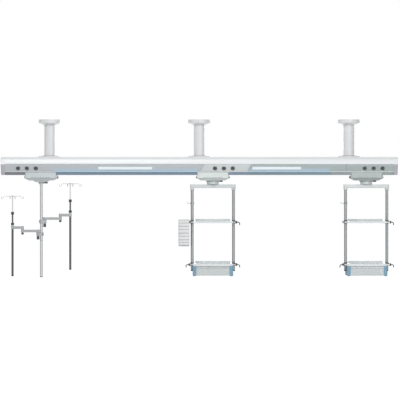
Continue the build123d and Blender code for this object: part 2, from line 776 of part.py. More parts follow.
# The two jointed arms with their telescopic poles
for level_name, side in arm_side.items():
    pivot_x = left_station + side * clamp_offset
    elbow_x = left_station + side * elbow_offset
    pole_x = left_station + side * pole_offset
    inner_top = inner_arm_top[level_name]
    inner_foot = inner_top - inner_arm_height
    outer_foot = inner_top + arm_spacer
    outer_top = outer_foot + outer_arm_height

    with BuildPart() as inner_arm:
        with BuildSketch(level(inner_foot, (pivot_x + elbow_x) / 2)):
            SlotCenterToCenter(elbow_offset - clamp_offset, 2 * arm_half_width)
        extrude(amount=inner_arm_height)
        fillet(inner_arm.faces().sort_by(Axis.Z)[-1].edges(), 5)
        fillet(inner_arm.faces().sort_by(Axis.Z)[0].edges(), 5)
    save(inner_arm, f"{level_name}_inner_arm")

    # The outer arm carries the elbow pin's spacer and a collar for the pole
    with BuildPart() as outer_arm:
        with BuildSketch(level(outer_foot, (elbow_x + pole_x) / 2)):
            SlotCenterToCenter(pole_offset - elbow_offset, 2 * outer_half_width)
        extrude(amount=outer_arm_height)
        fillet(outer_arm.faces().sort_by(Axis.Z)[-1].edges(), 5)
        fillet(outer_arm.faces().sort_by(Axis.Z)[0].edges(), 3)
        with Locations((elbow_x, 0, inner_top + (arm_spacer + fit_gap) / 2)):
            Cylinder(elbow_knob_radius, arm_spacer - fit_gap)
        with Locations((pole_x, 0, outer_top + pole_collar_height / 2)):
            Cylinder(pole_collar_radius - 2, pole_collar_height)
        with Locations((pole_x, 0, (outer_foot + outer_top) / 2)):
            Cylinder(pole_tube_radius, 3 * outer_arm_height, mode=Mode.SUBTRACT)
    save(outer_arm, f"{level_name}_outer_arm")

    with BuildPart() as elbow_knob:
        turned(
            [
                (0, inner_foot - elbow_knob_height),
                (elbow_knob_radius - 4, inner_foot - elbow_knob_height),
                (elbow_knob_radius, inner_foot - elbow_knob_height + 4),
                (elbow_knob_radius, inner_foot - 5),
                (elbow_knob_radius - 4, inner_foot),
                (0, inner_foot),
            ],
            elbow_x,
        )
    save(elbow_knob, f"{level_name}_elbow_knob")

    # Pole tube with a slimmer stem on top, bored for the rod and plugged at the foot
    tube_top = outer_top + pole_collar_height + 13
    pole_foot = tube_top - pole_tube_length[level_name]
    stem_top = tube_top + pole_stem_height
    with BuildPart() as pole_tube:
        turned(
            [
                (0, pole_foot),
                (pole_tube_radius - 3, pole_foot),
                (pole_tube_radius, pole_foot + 3),
                (pole_tube_radius, outer_foot - 4 - groove_width),
                (pole_tube_radius - groove_depth, outer_foot - 4 - groove_width),
                (pole_tube_radius - groove_depth, outer_foot - 4),
                (pole_tube_radius, outer_foot - 4),
                (pole_tube_radius, tube_top - 4),
                (pole_stem_radius, tube_top),
                (pole_stem_radius, stem_top),
                (pole_rod_radius + fit_gap, stem_top),
                (pole_rod_radius + fit_gap, tube_top - 30),
                (pole_tube_radius - pole_tube_wall, tube_top - 34),
                (pole_tube_radius - pole_tube_wall, pole_foot + 8),
                (0, pole_foot + 8),
            ],
            pole_x,
        )
    save(pole_tube, f"{level_name}_pole_tube")

    # The lock knob is a ring that turns on top of the stem
    knob_foot = stem_top + fit_gap
    knob_top = knob_foot + knob_height
    with BuildPart() as pole_knob:
        turned(
            [
                (pole_rod_radius + fit_gap, knob_foot),
                (knob_radius - 6, knob_foot),
                (knob_radius, knob_foot + 8),
                (knob_radius, knob_top - 6),
                (knob_radius - 6, knob_top),
                (pole_rod_radius + fit_gap, knob_top),
            ],
            pole_x,
        )
    save(pole_knob, f"{level_name}_pole_knob")

    # Rod and hook head: four wires that dip and turn up at their tips
    hook_level = stem_top + knob_height / 2 + pole_rod_rise
    with BuildPart() as pole_rod:
        with Locations((pole_x, 0, (hook_level + stem_top - pole_rod_inside) / 2)):
            Cylinder(pole_rod_radius, hook_level - stem_top + pole_rod_inside)
        with Locations((pole_x, 0, hook_level)):
            Cylinder(hook_hub_radius, 4 * hook_wire_radius)
        rims = pole_rod.faces().sort_by(Axis.Z)[-1].edges()
        fillet(rims, 3)
        for quarter in range(4):
            turn = Location((pole_x, 0, hook_level), (0, 0, hook_turn + 90 * quarter))
            hook_path = turn * Plane.XZ.location * hook_outline.line
            with BuildSketch(Plane(origin=hook_path @ 0, z_dir=hook_path % 0)):
                Circle(hook_wire_radius)
            sweep(path=hook_path)
    save(pole_rod, f"{level_name}_pole_rod")

# Equipment racks
socket_foot = post_top - socket_height
notch = collar_radius + fit_gap
for name in ("middle", "right"):
    station = stations[name]
    post_xs = (station - post_offset, station + post_offset)

    # Rack head: a necked flange that turns in the bearing, over a hollow cross bar
    with BuildPart() as rack_head:
        turned(
            [
                (rack_neck_radius - rack_neck_wall, flange_top + flange_thickness),
                (bearing_bore - running_gap, flange_top + flange_thickness),
                (bearing_bore - running_gap, flange_top),
                (rack_neck_radius, flange_top),
                (rack_neck_radius, neck_foot),
                (rack_neck_radius - rack_neck_wall, neck_foot),
            ],
            station,
        )
        with BuildSketch(level(neck_foot, station)):
            RectangleRounded(bar_length, bar_depth, bar_depth / 3)
        extrude(amount=-bar_height)
        fillet(rack_head.faces().sort_by(Axis.Z)[0].edges(), 8)
        with BuildSketch(level(neck_foot - bar_wall, station)):
            RectangleRounded(bar_length - 2 * bar_wall, bar_depth - 2 * bar_wall, bar_depth / 4)
        extrude(amount=-bar_height + 2 * bar_wall, mode=Mode.SUBTRACT)
        for x in post_xs:
            with Locations((x, 0, post_top - socket_height / 2 + bar_wall / 2)):
                Cylinder(socket_radius, socket_height + bar_wall)
                Cylinder(post_radius, socket_height + bar_wall, mode=Mode.SUBTRACT)
    save(rack_head, f"{name}_rack_head")

    with BuildPart() as rack_posts:
        for x in post_xs:
            with BuildSketch(level(post_foot, x)):
                Circle(post_radius)
                Circle(post_radius - post_wall, mode=Mode.SUBTRACT)
            extrude(amount=post_top + bar_wall - post_foot)
            with BuildSketch(level(post_foot, x)):
                Circle(post_radius)
            extrude(amount=5)
            fillet(rack_posts.faces().group_by(Axis.Z)[0].edges(), 3)
    save(rack_posts, f"{name}_rack_posts")

    # Split collars fixed on the posts hold the shelves up by their flanges
    with BuildPart() as shelf_collars:
        for top in (upper_shelf_top, lower_shelf_top):
            for x in post_xs:
                under = top - sheet
                turned(
                    [
                        (post_radius, top + collar_above),
                        (collar_radius, top + collar_above),
                        (collar_radius, under),
                        (collar_flange_radius, under),
                        (collar_flange_radius, under - collar_flange),
                        (collar_radius, under - collar_flange),
                        (collar_radius, top - collar_below),
                        (post_radius, top - collar_below),
                    ],
                    x,
                )
    save(shelf_collars, f"{name}_shelf_collars")

    # Shelves: a folded tray with a notch for each collar. The lower one holds the drawer.
    for place, top in (("upper", upper_shelf_top), ("lower", lower_shelf_top)):
        with BuildPart() as shelf:
            with BuildSketch(level(top, station)):
                RectangleRounded(shelf_width, shelf_depth, corner_round)
            extrude(amount=-shelf_skirt)
            with BuildSketch(level(top - sheet, station)):
                RectangleRounded(shelf_width - 2 * sheet, shelf_depth - 2 * sheet, corner_round - sheet)
            extrude(amount=-shelf_skirt, mode=Mode.SUBTRACT)
            fillet(shelf.faces().sort_by(Axis.Z)[-1].edges(), 2)
            with Locations((station, shelf_depth / 2 - sheet, top + rear_upstand / 2 - 1)):
                Box(shelf_width - 2 * corner_round - 20, sheet, rear_upstand + 2)
            fillet(shelf.edges().filter_by(Axis.Y).group_by(Axis.Z)[-1], 8)
            for x in post_xs:
                with Locations((x, 0, top)):
                    Cylinder(notch, 3 * sheet, mode=Mode.SUBTRACT)
                with Locations((x, 0, top - sheet - shelf_skirt)):
                    Box(2 * notch + 30, 2 * collar_flange_radius + 2, 2 * shelf_skirt, mode=Mode.SUBTRACT)
            if place == "lower":
                cabinet_foot = top - cabinet_height
                inner_half = cabinet_half - sheet
                front_y = -shelf_depth / 2
                rear_y = shelf_depth / 2 - sheet
                deep = rear_y - front_y - drawer_front_thickness - fit_gap
                middle_y = rear_y - deep / 2
                tall = cabinet_height - sheet
                with Locations((station, front_y + sheet / 2, top - sheet - front_lip / 2 + 2)):
                    Box(2 * cabinet_half, sheet, front_lip)
                with Locations((station, middle_y, top - sheet - tall / 2 + 0.5)):
                    Box(2 * cabinet_half, deep, tall + 1)
                    Box(2 * inner_half, deep - 2 * sheet, tall - 2 * sheet + 1, mode=Mode.SUBTRACT)
                drawer_top = cabinet_foot + 6 + drawer_height
                with Locations((station, middle_y - 2 * sheet, (drawer_top + cabinet_foot) / 2 + 3)):
                    Box(2 * inner_half, deep, drawer_top - cabinet_foot, mode=Mode.SUBTRACT)
                channel_top = drawer_top + runner_thickness + fit_gap
                channel_height = 3 * runner_thickness + 2 * fit_gap
                for side in (-1, 1):
                    inward = inner_half - drawer_half - 2
                    with Locations(
                        (station + side * (inner_half - inward / 2), middle_y, channel_top - channel_height / 2)
                    ):
                        Box(inward, deep - 2 * sheet, channel_height)
                        Box(inward, deep, channel_height - 2 * runner_thickness, mode=Mode.SUBTRACT)
                    with Locations(
                        (station + side * (inner_half + sheet / 2), middle_y, channel_top - channel_height / 2)
                    ):
                        Box(sheet, deep, channel_height)
        save(shelf, f"{name}_{place}_shelf")

    # Coloured posts at the four corners of the drawer cabinet
    with BuildPart() as corner_posts:
        for side in (-1, 1):
            for end in (-1, 1):
                centre = (
                    station + side * (cabinet_half + corner_size / 2),
                    end * (shelf_depth / 2 - corner_size / 2),
                    (lower_shelf_top - shelf_skirt + cabinet_foot) / 2,
                )
                with Locations(centre):
                    Box(corner_size, corner_size, cabinet_height - shelf_skirt)
        uprights = corner_posts.edges().filter_by(Axis.Z)
        for group in (uprights.group_by(Axis.X)[0], uprights.group_by(Axis.X)[-1]):
            fillet(group.group_by(Axis.Y)[0], corner_round)
            fillet(group.group_by(Axis.Y)[-1], corner_round)
    save(corner_posts, f"{name}_corner_posts")

    # Drawer: front board, tray and the side flanges that run in the channels
    with BuildPart() as drawer:
        front_top = lower_shelf_top - front_lip - drawer_gap
        with Locations((station, front_y + drawer_front_thickness / 2, (front_top + cabinet_foot) / 2)):
            Box(2 * cabinet_half - 2 * fit_gap, drawer_front_thickness, front_top - cabinet_foot)
        fillet(drawer.faces().sort_by(Axis.Y)[0].edges(), 4)
        tray_y = front_y + drawer_front_thickness + drawer_length / 2
        with Locations((station, tray_y, drawer_top - drawer_height / 2)):
            Box(2 * drawer_half, drawer_length, drawer_height)
        with Locations((station, tray_y, drawer_top - drawer_height / 2 + drawer_wall)):
            Box(
                2 * (drawer_half - drawer_wall),
                drawer_length - 2 * drawer_wall,
                drawer_height,
                mode=Mode.SUBTRACT,
            )
        for side in (-1, 1):
            with Locations(
                (
                    station + side * (inner_half + drawer_half - drawer_wall - drawer_side_gap) / 2,
                    tray_y,
                    drawer_top - runner_thickness / 2,
                )
            ):
                Box(
                    inner_half - drawer_side_gap - drawer_half + drawer_wall,
                    drawer_length,
                    runner_thickness,
                )
    save(drawer, f"{name}_drawer")

    # Short side rails on stand-offs, in front of and behind each post
    rail_middle = (side_rail_start + side_rail_end) / 2
    with BuildPart() as side_rails:
        for top in (upper_shelf_top, lower_shelf_top):
            for side in (-1, 1):
                for end in (-1, 1):
                    with Locations(
                        (
                            station + side * (side_rail_inner + side_rail_thickness / 2),
                            end * rail_middle,
                            top - side_rail_height / 2,
                        )
                    ):
                        Box(side_rail_thickness, side_rail_end - side_rail_start, side_rail_height)
                    for y in (side_rail_start + 14, side_rail_end - 14):
                        with Locations(
                            (
                                station + side * (shelf_width / 2 + side_rail_stand / 2),
                                end * y,
                                top - side_rail_height / 2,
                            )
                        ):
                            Box(side_rail_stand, 14, 14)
        # Bent side handles, each on a claw that grips the front rail
        for top, side in ((upper_shelf_top, 1), (lower_shelf_top, 1), (lower_shelf_top, -1)):
            face = station + side * (side_rail_outer + fit_gap)
            claw = (face + side * 5, -rail_middle, top - side_rail_height / 2)
            with Locations(claw):
                Box(10, 30, side_rail_height + 10)
            for up in (-1, 1):
                with Locations(
                    (
                        station + side * (side_rail_outer - 3),
                        -rail_middle,
                        top - side_rail_height / 2 + up * (side_rail_height / 2 + fit_gap + 2.3),
                    )
                ):
                    Box(8, 30, 4.2)
            with BuildLine(Plane.XZ.offset(rail_middle)) as handle_path:
                x0 = face + side * 8
                z0 = top - side_rail_height / 2
                Line((x0, z0), (x0 + side * 12, z0))
                ThreePointArc(
                    (x0 + side * 12, z0),
                    (x0 + side * (12 + 0.7 * (handle_reach - 12)), z0 - 0.3 * (handle_reach - 12)),
                    (x0 + side * handle_reach, z0 - handle_reach + 12),
                )
                Line(
                    (x0 + side * handle_reach, z0 - handle_reach + 12),
                    (x0 + side * handle_reach, z0 - handle_drop),
                )
            with BuildSketch(Plane(origin=handle_path.line @ 0, z_dir=handle_path.line % 0)):
                Circle(handle_radius)
            sweep(path=handle_path.line)
    save(side_rails, f"{name}_side_rails")

    # Small cable hooks round a collar of the left post, none of them over the shelf
    with BuildPart() as post_hook:
        with Locations((post_xs[0], 0, post_hook_height)):
            Cylinder(collar_radius, 24)
            Cylinder(post_radius, 24, mode=Mode.SUBTRACT)
        for quarter in (1, 2, 3):
            outward = Location((post_xs[0], 0, post_hook_height), (0, 0, 90 * quarter))
            reach = post_hook_reach - collar_radius + 2
            with Locations(outward * Location((collar_radius - 2 + reach / 2, 0, 0), (0, 90, 0))):
                Cylinder(post_hook_wire, reach)
            with Locations(outward * Location((post_hook_reach, 0, 6))):
                Cylinder(post_hook_wire, 17)
    save(post_hook, f"{name}_post_hook")

# Slotted basket hung over the middle rack's left rails
basket_face = middle_station - side_rail_outer - fit_gap
basket_x = basket_face - basket_width / 2
basket_foot = basket_top - basket_height
with BuildPart() as side_basket:
    with Locations((basket_x, 0, basket_top - basket_height / 2)):
        Box(basket_width, basket_depth, basket_height)
        fillet(side_basket.edges().filter_by(Axis.Z), 6)
        Box(
            basket_width - 2 * basket_wall,
            basket_depth - 2 * basket_wall,
            basket_height - 2 * basket_wall,
            mode=Mode.SUBTRACT,
        )
        with Locations((0, 0, basket_height / 2)):
            Box(
                basket_width - 2 * basket_wall,
                basket_depth - 2 * basket_wall,
                4 * basket_wall,
                mode=Mode.SUBTRACT,
            )
    slot_tall = (basket_height - 3 * basket_rim) / 2 - 6
    slot_count = int((basket_width - 2 * basket_rim) // basket_slot_pitch)
    with Locations((basket_x, 0, basket_top - basket_height / 2)):
        with GridLocations(basket_slot_pitch, 1, slot_count, 1):
            for up in (-1, 1):
                with Locations((0, 0, up * (slot_tall + basket_rim) / 2)):
                    Box(basket_slot, 2 * basket_depth, slot_tall, mode=Mode.SUBTRACT)
    hook_inner = side_rail_thickness + 2 * fit_gap + basket_wall
    for end in (-1, 1):
        with Locations(
            (
                basket_face + (hook_inner - basket_wall) / 2,
                end * rail_middle,
                upper_shelf_top + fit_gap + basket_wall / 2,
            )
        ):
            Box(hook_inner + basket_wall, 24, basket_wall)
        with Locations((basket_face + hook_inner - basket_wall / 2, end * rail_middle, upper_shelf_top - 8)):
            Box(basket_wall, 24, 16 + 2 * fit_gap + 2 * basket_wall)
save(side_basket, "side_basket")
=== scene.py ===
# %% [markdown]
# # Bed head unit
# This notebook dresses a ceiling-hung bed head unit: a long supply beam on three columns, with an
# infusion column and two equipment racks that slide along it. The exact solids come from CAD and are
# loaded first, so everything here is in metres in the CAD's own frame. The beam runs along X, the
# front looks along -Y, and Z = 0 is the ceiling.

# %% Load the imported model
import bmesh
import bpy
import json
import numpy as np
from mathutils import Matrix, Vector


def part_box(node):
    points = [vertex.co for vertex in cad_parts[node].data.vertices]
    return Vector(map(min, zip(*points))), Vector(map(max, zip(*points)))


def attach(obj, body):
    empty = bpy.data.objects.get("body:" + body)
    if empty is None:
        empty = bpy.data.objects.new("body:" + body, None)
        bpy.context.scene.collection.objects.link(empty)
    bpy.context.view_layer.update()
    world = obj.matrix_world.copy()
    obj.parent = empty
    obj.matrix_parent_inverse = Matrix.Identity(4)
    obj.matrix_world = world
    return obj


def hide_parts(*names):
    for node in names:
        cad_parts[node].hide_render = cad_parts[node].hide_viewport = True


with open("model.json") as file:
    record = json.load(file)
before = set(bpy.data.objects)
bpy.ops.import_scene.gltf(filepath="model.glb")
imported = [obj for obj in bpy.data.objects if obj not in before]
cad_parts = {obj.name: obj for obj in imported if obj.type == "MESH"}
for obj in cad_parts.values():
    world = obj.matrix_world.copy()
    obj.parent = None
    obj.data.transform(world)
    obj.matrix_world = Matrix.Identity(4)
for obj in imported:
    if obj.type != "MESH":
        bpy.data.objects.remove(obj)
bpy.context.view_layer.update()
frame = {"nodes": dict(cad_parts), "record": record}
nodes = frame["nodes"]


def box(name):
    """Lowest and highest corner of a CAD node, as the two rows of an array."""
    return np.array(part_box(name), float)


def heights(name):
    """Lowest and highest Z of a CAD node."""
    return box(name)[:, 2]


# %% [markdown]
# The unit is about five metres wide and is photographed almost straight on from far away, so its
# columns stay parallel and the racks keep their size. A long lens at thirty metres gives that. The
# horizon lies at eye height, above the middle of the picture, which a small lens shift reaches
# without tilting the camera.

# %% Camera
scene = bpy.context.scene
FOCUS_Y = -0.1
CAMERA_DISTANCE = 30.0
METRES_PER_PIXEL = 0.0125
PICTURE = 400
EYE = (0.009, FOCUS_Y - CAMERA_DISTANCE, -0.82)

camera_data = bpy.data.cameras.new("camera")
camera_data.sensor_width = 36.0
camera_data.lens = camera_data.sensor_width * CAMERA_DISTANCE / (PICTURE * METRES_PER_PIXEL)
camera_data.shift_y = -0.0375
camera_data.clip_end = 150.0
camera = bpy.data.objects.new("camera", camera_data)
camera.location = EYE
camera.rotation_euler = (np.pi / 2, 0.0, 0.0)
scene.collection.objects.link(camera)
scene.camera = camera
scene.view_settings.view_transform = "Standard"
print("lens", round(camera_data.lens, 1), "mm")

# %% [markdown]
# A product photograph like this is lit evenly, with only a soft fall-off round the tubes. Three large
# area lamps shape the round parts, and a pale world fills the rest.

# %% Lights
def area_light(name, place, target, size, power):
    """A square soft lamp at place that looks at target."""
    data = bpy.data.lights.new(name, "AREA")
    data.size = size
    data.energy = power
    lamp = bpy.data.objects.new(name, data)
    lamp.location = place
    aim = np.subtract(target, place)
    lamp.rotation_euler = (
        np.arctan2(np.hypot(aim[0], aim[1]), -aim[2]), 0.0, np.arctan2(aim[1], aim[0]) - np.pi / 2)
    scene.collection.objects.link(lamp)


area_light("key", (-2.5, -8.2, 4.2), (-0.3, 0, -0.9), 5.0, 350)
area_light("fill", (4.0, -8.0, -0.2), (0.3, 0, -1.0), 5.0, 150)
area_light("back", (1.5, 6.0, 1.2), (0, 0, -0.9), 4.0, 160)
print(len(bpy.data.lights), "area lamps")

# %% [markdown]
# The world and the finishes are graphs of nodes. Each helper here adds one node and returns its output,
# so that a graph reads like a sum. The world shows pure white to the camera, to mirrors and to clear
# parts, while it lights the object at a plain level.

# %% Node helpers and world
def node_tree(owner):
    """Empty node tree of a material or world."""
    owner.use_nodes = True
    owner.node_tree.nodes.clear()
    return owner.node_tree


def add(tree, kind, inputs=None, **values):
    """Add one shader node. Inputs maps a socket name or number to a value or another node's output."""
    node = tree.nodes.new("ShaderNode" + kind)
    for key, value in values.items():
        setattr(node, key, value)
    for key, value in (inputs or {}).items():
        if isinstance(value, bpy.types.NodeSocket):
            tree.links.new(value, node.inputs[key])
        else:
            node.inputs[key].default_value = value
    return node


def maths(tree, operation, *values):
    """Output of one Math node."""
    return add(tree, "Math", dict(enumerate(values)), operation=operation).outputs[0]


def mapped(tree, value, from_low, from_high, to_low=0.0, to_high=1.0, **values):
    """Output of a Map Range node, which carries value from one range to another."""
    return add(tree, "MapRange", {"Value": value, "From Min": from_low, "From Max": from_high,
                                  "To Min": to_low, "To Max": to_high}, **values).outputs[0]


def mixed(tree, share, first, second):
    """Output of a Mix node that goes from one colour to another by share."""
    return add(tree, "Mix", {"Factor": share, 6: first, 7: second}, data_type="RGBA").outputs[2]


def between(tree, share, first, second):
    """Output of a Mix node that goes from one number to another by share."""
    return add(tree, "Mix", {"Factor": share, 2: first, 3: second}, data_type="FLOAT").outputs[0]


def noise(tree, place, scale, detail, distortion=0.0):
    """Output of a Noise Texture node."""
    return add(tree, "TexNoise", {"Vector": place, "Scale": scale, "Detail": detail,
                                  "Distortion": distortion}).outputs["Fac"]


def object_place(tree):
    """The point's own place on the object, as a vector."""
    return add(tree, "TexCoord").outputs["Object"]


def split(tree, vector):
    """X, Y and Z outputs of a vector."""
    return list(add(tree, "SeparateXYZ", {"Vector": vector}).outputs)


def surface(tree, inputs):
    """End a material in a Principled shader with these inputs."""
    shader = add(tree, "BsdfPrincipled", inputs)
    add(tree, "OutputMaterial", {"Surface": shader.outputs[0]})


def seen_ray(tree):
    """1 for a ray that the camera, a mirror or a clear part sends, 0 for one that gathers light."""
    path = add(tree, "LightPath").outputs
    seen = maths(tree, "MAXIMUM", path["Is Camera Ray"], path["Is Glossy Ray"])
    return maths(tree, "MAXIMUM", seen, path["Is Transmission Ray"])


def lit_or_seen(tree, lit, seen, output):
    """End a tree in one look for rays that gather light and another for rays that see."""
    mix = add(tree, "MixShader", {0: seen_ray(tree), 1: lit.outputs[0], 2: seen.outputs[0]})
    add(tree, output, {"Surface": mix.outputs[0]})


world = bpy.data.worlds.new("studio")
scene.world = world
tree = node_tree(world)
lit = add(tree, "Background", {"Color": (0.95, 0.97, 1.0, 1), "Strength": 0.4})
shown = add(tree, "Background", {"Color": (1, 1, 1, 1), "Strength": 1.0})
lit_or_seen(tree, lit, shown, "OutputWorld")
print("world of", len(tree.nodes), "nodes")

# %% [markdown]
# New shapes are surfaces worked out with numpy: grids of points given by two parameters, closed where
# the shape closes. One helper turns such grids into a mesh, merges the points of poles and seams and
# turns all faces outwards. The others are the common grids of metalwork: an outline turned about an
# axis, a round bar carried along a path or round a circle, and a slab with rounded edges.

# %% Surface helpers
def piece(name, parts, materials):
    """Mesh object from (points, faces, material number) parts, each a closed shell.

    Points closer than a micrometre are merged, so poles close, and each shell's faces turn outwards.
    """
    points, loops, counts, kinds, start = [], [], [], [], 0
    for part_points, part_faces, kind in parts:
        points.append(part_points)
        for faces in part_faces if isinstance(part_faces, list) else [part_faces]:
            faces = np.atleast_2d(faces)
            loops.append((faces + start).ravel())
            counts.append(np.full(len(faces), faces.shape[1]))
            kinds.append(np.full(len(faces), kind))
        start += len(part_points)
    points, loops, counts, kinds = map(np.concatenate, (points, loops, counts, kinds))
    mesh = bpy.data.meshes.new(name)
    mesh.vertices.add(len(points))
    mesh.vertices.foreach_set("co", points.astype(np.float32).ravel())
    mesh.loops.add(len(loops))
    mesh.loops.foreach_set("vertex_index", loops.astype(np.int32))
    mesh.polygons.add(len(counts))
    mesh.polygons.foreach_set("loop_start", (np.cumsum(counts) - counts).astype(np.int32))
    mesh.polygons.foreach_set("loop_total", counts.astype(np.int32))
    mesh.polygons.foreach_set("material_index", kinds.astype(np.int32))
    mesh.update(calc_edges=True)
    shell = bmesh.new()
    shell.from_mesh(mesh)
    bmesh.ops.remove_doubles(shell, verts=shell.verts, dist=1e-6)
    bmesh.ops.recalc_face_normals(shell, faces=shell.faces)
    shell.to_mesh(mesh)
    shell.free()
    mesh.polygons.foreach_set("use_smooth", np.ones(len(mesh.polygons), bool))
    mesh.set_sharp_from_angle(angle=np.radians(38))
    for material in materials:
        mesh.materials.append(material)
    made = bpy.data.objects.new(name, mesh)
    scene.collection.objects.link(made)
    return made


def grid_faces(rows, columns, closed_rows=False, closed_columns=True):
    """Quads of a grid of rows by columns points, joined round where a direction is closed."""
    i = np.arange(rows if closed_rows else rows - 1)
    j = np.arange(columns if closed_columns else columns - 1)
    i, j = (a.ravel() for a in np.meshgrid(i, j, indexing="ij"))
    k, m = (i + 1) % rows, (j + 1) % columns
    return np.stack([i * columns + j, i * columns + m, k * columns + m, k * columns + j], 1)


def square_axes(axis):
    """Unit vector along axis, and two more square to it and to each other."""
    along = np.asarray(axis, float) / np.linalg.norm(axis)
    across = np.cross(along, (1.0, 0.0, 0.0) if abs(along[0]) < 0.9 else (0.0, 1.0, 0.0))
    across /= np.linalg.norm(across)
    return across, np.cross(along, across), along


def unit_circle(steps):
    """Points (x, y) evenly round a circle of radius 1."""
    turn = np.linspace(0, 2 * np.pi, steps, endpoint=False)
    return np.stack([np.cos(turn), np.sin(turn)], 1)


def placed(flat, centre, x_way=(1, 0, 0), y_way=(0, 1, 0)):
    """Flat (x, y) points set in space: centre + x * x_way + y * y_way."""
    return centre + flat[..., :1] * x_way + flat[..., 1:] * y_way


def lathe(profile, centre, axis=(0, 0, 1), steps=40, flutes=0, depth=0.0, band=(0, 0), kind=0):
    """An outline of (radius, height) turned about an axis through centre.

    With flutes, the radius inside the band of heights shrinks by depth * (1 - cos(flutes * turn)) / 2.
    The outline closes on the axis if both its ends lie there, and on itself otherwise.
    """
    profile = np.asarray(profile, float)
    turn = np.linspace(0, 2 * np.pi, steps, endpoint=False)
    radius = profile[:, :1] * np.ones(steps)
    inside = (profile[:, 1] >= band[0]) & (profile[:, 1] <= band[1])
    radius -= inside[:, None] * depth * (1 - np.cos(flutes * turn)) / 2
    across, over, along = square_axes(axis)
    ring = placed(unit_circle(steps), 0, across, over)
    points = centre + radius[..., None] * ring + profile[:, 1][:, None, None] * along
    on_axis = profile[0, 0] == 0 and profile[-1, 0] == 0
    return points.reshape(-1, 3), grid_faces(len(profile), steps, closed_rows=not on_axis), kind


def bar(path, radius, sides, closed=False, kind=0):
    """A round bar along a path: its section stays square to the path and its ends are closed."""
    path = np.asarray(path, float)
    ahead = np.roll(path, -1, 0) - np.roll(path, 1, 0) if closed else np.gradient(path, axis=0)
    ahead /= np.linalg.norm(ahead, axis=1, keepdims=True)
    helper = np.array((0.31, 0.27, 0.91))
    if np.abs(ahead @ helper).max() >= 0.97:
        helper = np.array((0.83, -0.52, 0.2))
    side = np.cross(ahead, helper)
    side /= np.linalg.norm(side, axis=1, keepdims=True)
    up = np.cross(side, ahead)
    points = path[:, None] + placed(unit_circle(sides), 0, side[:, None], up[:, None]) * radius
    if closed:
        return points.reshape(-1, 3), grid_faces(len(path), sides, closed_rows=True), kind
    ends = [np.repeat(path[:1, None], sides, 1), points, np.repeat(path[-1:, None], sides, 1)]
    points = np.concatenate(ends).reshape(-1, 3)
    return points, grid_faces(len(path) + 2, sides), kind


def hoop(centre, radius, thick, sides=8, kind=0):
    """A round bar bent into a level circle about centre."""
    return bar(placed(unit_circle(64) * radius, centre), thick, sides, closed=True, kind=kind)


def ball(centre, radius):
    """A sphere as a half circle turned about its own upright axis."""
    rise = np.linspace(-np.pi / 2, np.pi / 2, 9)
    profile = np.stack([radius * np.cos(rise), radius * np.sin(rise)], 1)
    profile[[0, -1], 0] = 0
    return lathe(profile, centre, steps=16)


def outline_rect(length, width, corner, per=6):
    """Rectangle with round corners about the origin: four quarter circles, anticlockwise."""
    turn = np.linspace(0, np.pi / 2, per)
    quarter = np.stack([np.cos(turn), np.sin(turn)], 1)
    quarters = []
    for k, (sx, sy) in enumerate(((1, 1), (-1, 1), (-1, -1), (1, -1))):
        c, s = np.cos(k * np.pi / 2), np.sin(k * np.pi / 2)
        middle = np.array((sx * (length / 2 - corner), sy * (width / 2 - corner)))
        quarters.append(middle + corner * quarter @ np.array(((c, s), (-s, c))))
    return np.concatenate(quarters)


def outline_circles(circles):
    """Hull of circles (x, y, radius): in each direction, the edge of the circle that reaches furthest."""
    way = unit_circle(56)
    circles = np.asarray(circles, float)
    far = np.argmax(way @ circles[:, :2].T + circles[:, 2], axis=1)
    return circles[far, :2] + circles[far, 2:] * way


def slab(outline, low, high, edge, axes=np.eye(3), centre=(0, 0, 0), kind=0):
    """A convex outline given thickness between two heights, with quarter-round edges.

    Each ring is the outline moved in along its own normals by edge * (1 - sin(angle)), and lies
    edge * (1 - cos(angle)) inside its face's height.
    """
    ahead = np.roll(outline, -1, 0) - np.roll(outline, 1, 0)
    normal = np.stack([ahead[:, 1], -ahead[:, 0]], 1) / np.linalg.norm(ahead, axis=1, keepdims=True)
    angle = np.linspace(0, np.pi / 2, 4)
    inset = edge * (1 - np.sin(angle))
    rise = edge * (1 - np.cos(angle))
    inset = np.concatenate([inset, inset[::-1]])
    flat = outline - normal * inset[:, None, None]
    middle = np.broadcast_to(outline.mean(0), (1, *outline.shape))
    flat = np.concatenate([middle, flat, middle])
    height = np.concatenate([[low], low + rise, high - rise[::-1], [high]])
    x_way, y_way, z_way = axes
    points = placed(flat, centre, x_way, y_way) + height[:, None, None] * z_way
    return points.reshape(-1, 3), grid_faces(len(height), len(outline)), kind


def upright(side):
    """Axes for a slab that stands up along X and Z and looks along Y, to the given side."""
    return (1, 0, 0), (0, 0, 1), (0, side, 0)


def rounded(corners, radius, per=6):
    """Path through corner points, each corner swapped for an arc-like curve of the given reach.

    Near a corner the point is (1-t)^2 a + 2 t (1-t) c + t^2 b, between a and b on its two sides.
    """
    corners = np.asarray(corners, float)
    path = [corners[:1]]
    t = np.linspace(0, 1, per)[:, None]
    for before, corner, after in zip(corners, corners[1:], corners[2:]):
        a = corner + (before - corner) / np.linalg.norm(before - corner) * radius
        b = corner + (after - corner) / np.linalg.norm(after - corner) * radius
        path.append((1 - t) ** 2 * a + 2 * t * (1 - t) * corner + t**2 * b)
    path.append(corners[-1:])
    return np.concatenate(path)


def stub(radius, low, high):
    """Outline of a plain round plug between two heights."""
    return [(0, low), (radius, low), (radius, high), (0, high)]


SCREW_HEAD = np.array([(0, -0.3), (1.0, -0.3), (1.0, 0.15), (0.86, 0.42), (0.55, 0.52), (0.5, 0.5),
                       (0.46, 0.1), (0, 0.1)])


def screw(centre, axis, radius=0.004, kind=0):
    """Pan-head screw: a low dome with a round socket, turned. The head stands up along axis."""
    return lathe(SCREW_HEAD * radius, centre, axis, steps=18, kind=kind)


print("screw outline of", len(SCREW_HEAD), "points")


